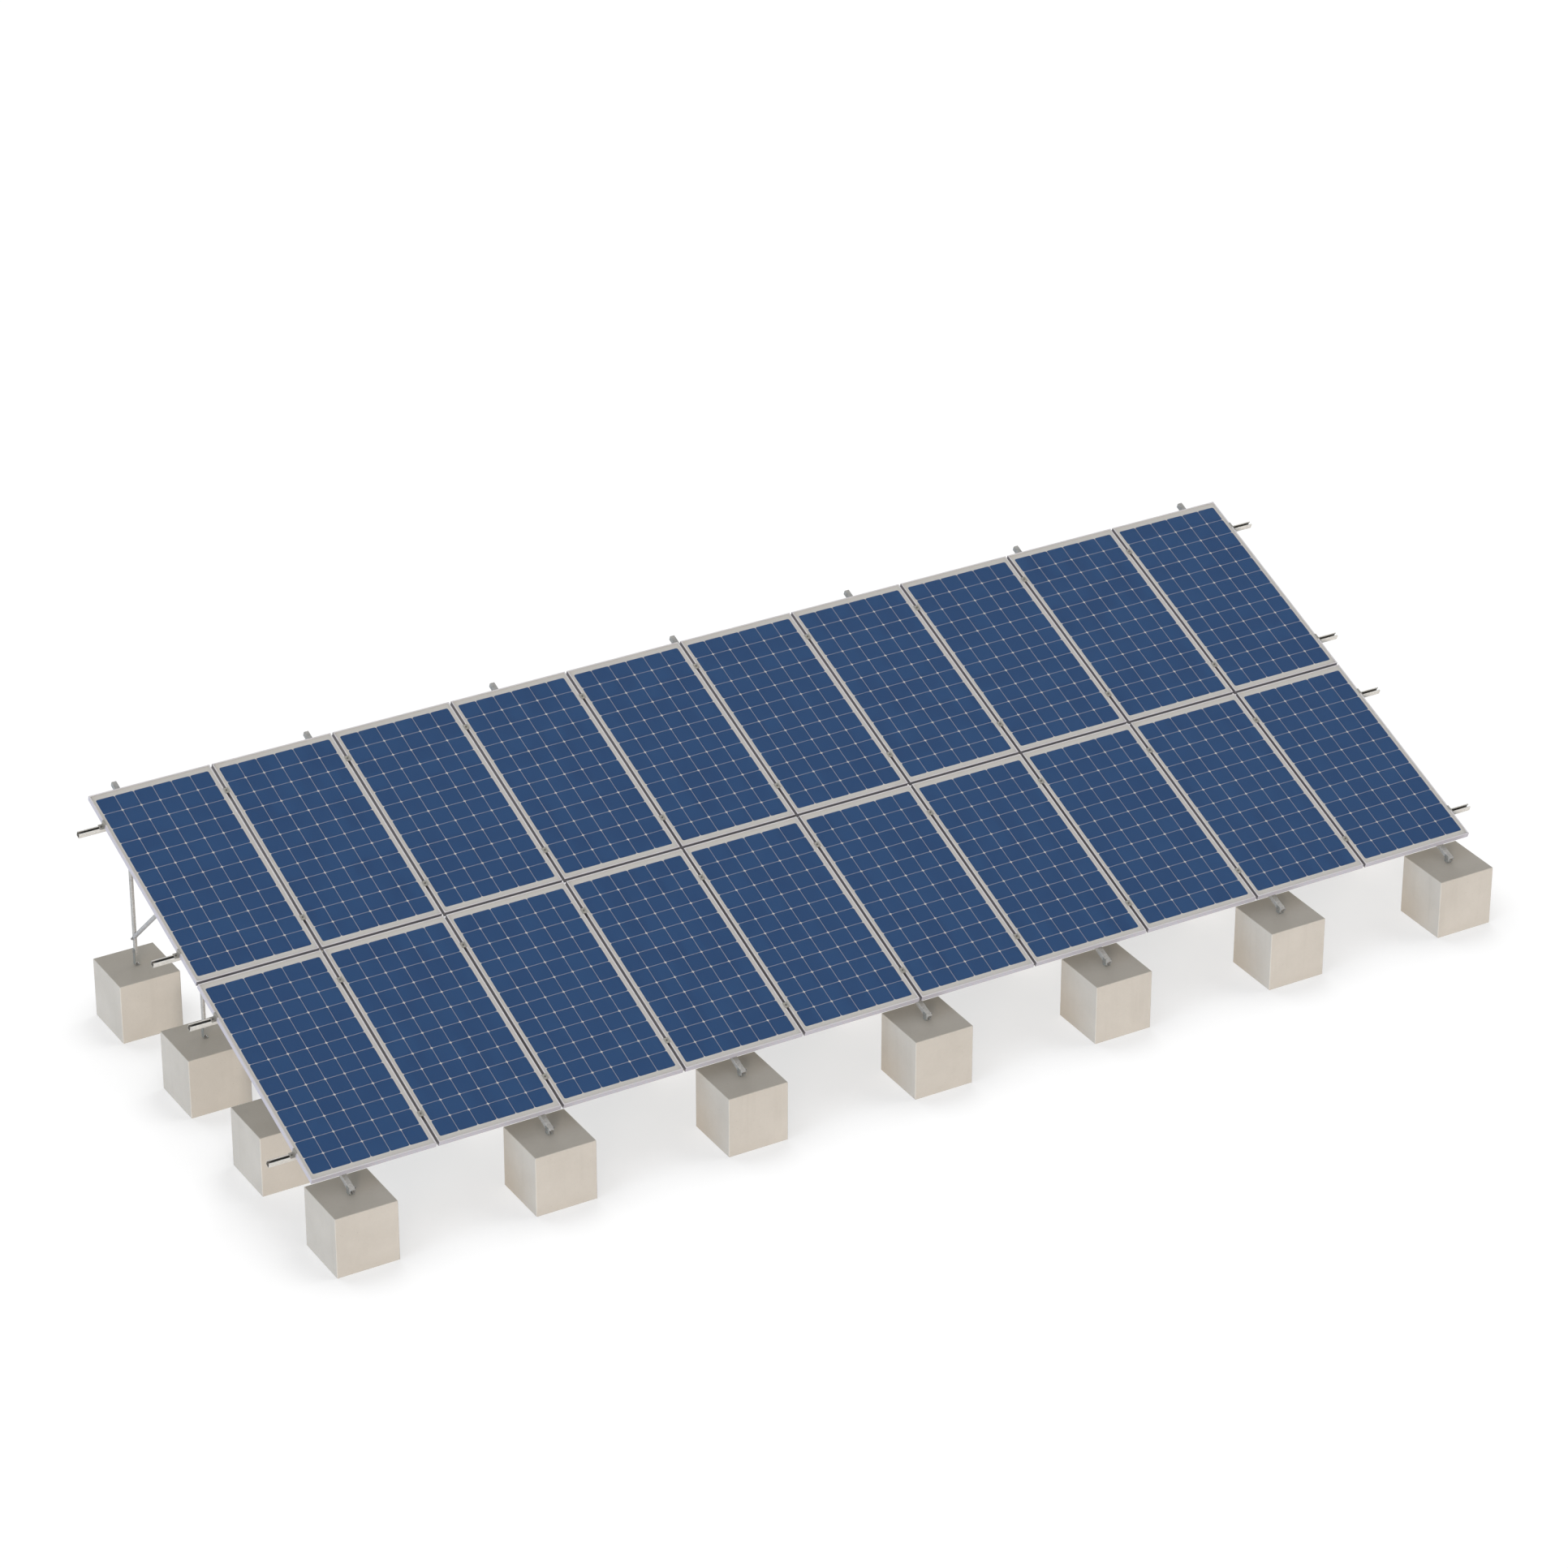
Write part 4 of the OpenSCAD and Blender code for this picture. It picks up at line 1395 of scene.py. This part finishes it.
@dataclass
class Studio:
    """The plain pale floor, the even light and the camera."""

    eye: Vector = field(default_factory=lambda: Vector((-18.9475, -32.4163, 22.2413)))
    yaw: float = 0.52557
    pitch: float = -0.50182
    roll: float = 0.001627
    focal_pixels: float = 6906.9
    image_pixels: int = 1932
    sensor: float = 36.0
    floor_side: float = 600.0
    shadow_reach: float = 1.1
    shadow_ramp: tuple[tuple[float, float], ...] = ((0.20, 0.66), (0.66, 0.56), (0.93, 0.98))
    matt: Colour = (0.86, 0.86, 0.86, 1.0)
    white: Colour = (1.0, 1.0, 1.0, 1.0)
    glow: float = 1.05
    ambient: float = 0.43
    lamps: tuple[Lamp, ...] = (
        Lamp("front_lamp", 37, 8, 20, 2.3, (1.0, 0.905, 0.835)),
        Lamp("left_lamp", 80, 8, 25, 0.75, (0.26, 0.60, 1.0)),
        Lamp("rear_lamp", -160, 4, 40, 1.7, (1.0, 1.0, 1.0)),
        Lamp("right_lamp", -100, 3, 40, 1.4, (1.0, 0.98, 0.96)),
    )

    def camera(self) -> None:
        """Place the camera where the photograph was taken from."""
        look = Vector((math.cos(self.pitch) * math.sin(self.yaw),
                       math.cos(self.pitch) * math.cos(self.yaw), math.sin(self.pitch)))
        right = look.cross(Vector((0, 0, 1))).normalized()
        over = right.cross(look)
        side = right * math.cos(self.roll) + over * math.sin(self.roll)
        up = over * math.cos(self.roll) - right * math.sin(self.roll)
        data = bpy.data.cameras.new("camera")
        data.sensor_width = self.sensor
        data.lens = self.focal_pixels / self.image_pixels * self.sensor
        data.clip_start = 0.1
        data.clip_end = 2 * self.floor_side
        made = bpy.data.objects.new("camera", data)
        turn = Matrix((side, up, -look)).transposed()
        made.matrix_world = Matrix.Translation(self.eye) @ turn.to_4x4()
        bpy.context.scene.collection.objects.link(made)
        bpy.context.scene.camera = made

    def floor(self) -> None:
        """Lay the white floor, which keeps the array's soft shadow."""
        shape = bmesh.new()
        bmesh.ops.create_grid(shape, x_segments=1, y_segments=1, size=self.floor_side / 2)
        made = bpy.data.objects.new("floor", Workshop.mesh("floor", shape))
        bpy.context.scene.collection.objects.link(made)
        material = bpy.data.materials.new("floor_white")
        material.use_nodes = True
        kit = NodeKit(material.node_tree)
        matt = kit.node("ShaderNodeBsdfDiffuse", None, {"Color": self.matt})
        glow = kit.node("ShaderNodeEmission", None, {"Color": self.white, "Strength": self.glow})
        openness = kit.node("ShaderNodeAmbientOcclusion", None, {"Distance": self.shadow_reach})
        share = kit.ramp(Wire(kit, openness.outputs["AO"]), *self.shadow_ramp)
        mixed = kit.node("ShaderNodeMixShader", None, {0: kit.seen() * share,
                                                       1: Wire(kit, matt.outputs[0]),
                                                       2: Wire(kit, glow.outputs[0])})
        kit.node("ShaderNodeOutputMaterial", None, {0: Wire(kit, mixed.outputs[0])})
        made.data.materials.append(material)

    def light(self) -> None:
        """Add the even surrounding light and the lamps."""
        world = bpy.data.worlds.new("studio")
        bpy.context.scene.world = world
        world.use_nodes = True
        kit = NodeKit(world.node_tree)
        lit, white = (kit.node("ShaderNodeBackground", None,
                               {"Color": self.white, "Strength": strength})
                      for strength in (self.ambient, 1.0))
        mixed = kit.node("ShaderNodeMixShader", None, {0: kit.seen(),
                                                       1: Wire(kit, lit.outputs[0]),
                                                       2: Wire(kit, white.outputs[0])})
        kit.node("ShaderNodeOutputWorld", None, {0: Wire(kit, mixed.outputs[0])})
        for lamp in self.lamps:
            lamp.build()

    def build(self) -> None:
        """Set up the camera, the floor and the light."""
        bpy.context.scene.view_settings.view_transform = "Standard"
        self.camera()
        self.floor()
        self.light()


def main() -> None:
    """Build the studio, then each sub-assembly."""
    logging.basicConfig(level=logging.INFO, format="%(message)s")
    layout = Layout()
    Studio().build()
    for assembly in (Steelwork, Fasteners, ModuleFrames, ModuleGlass, BackBoxes):
        assembly(layout).build()


if __name__ == "__main__":
    main()
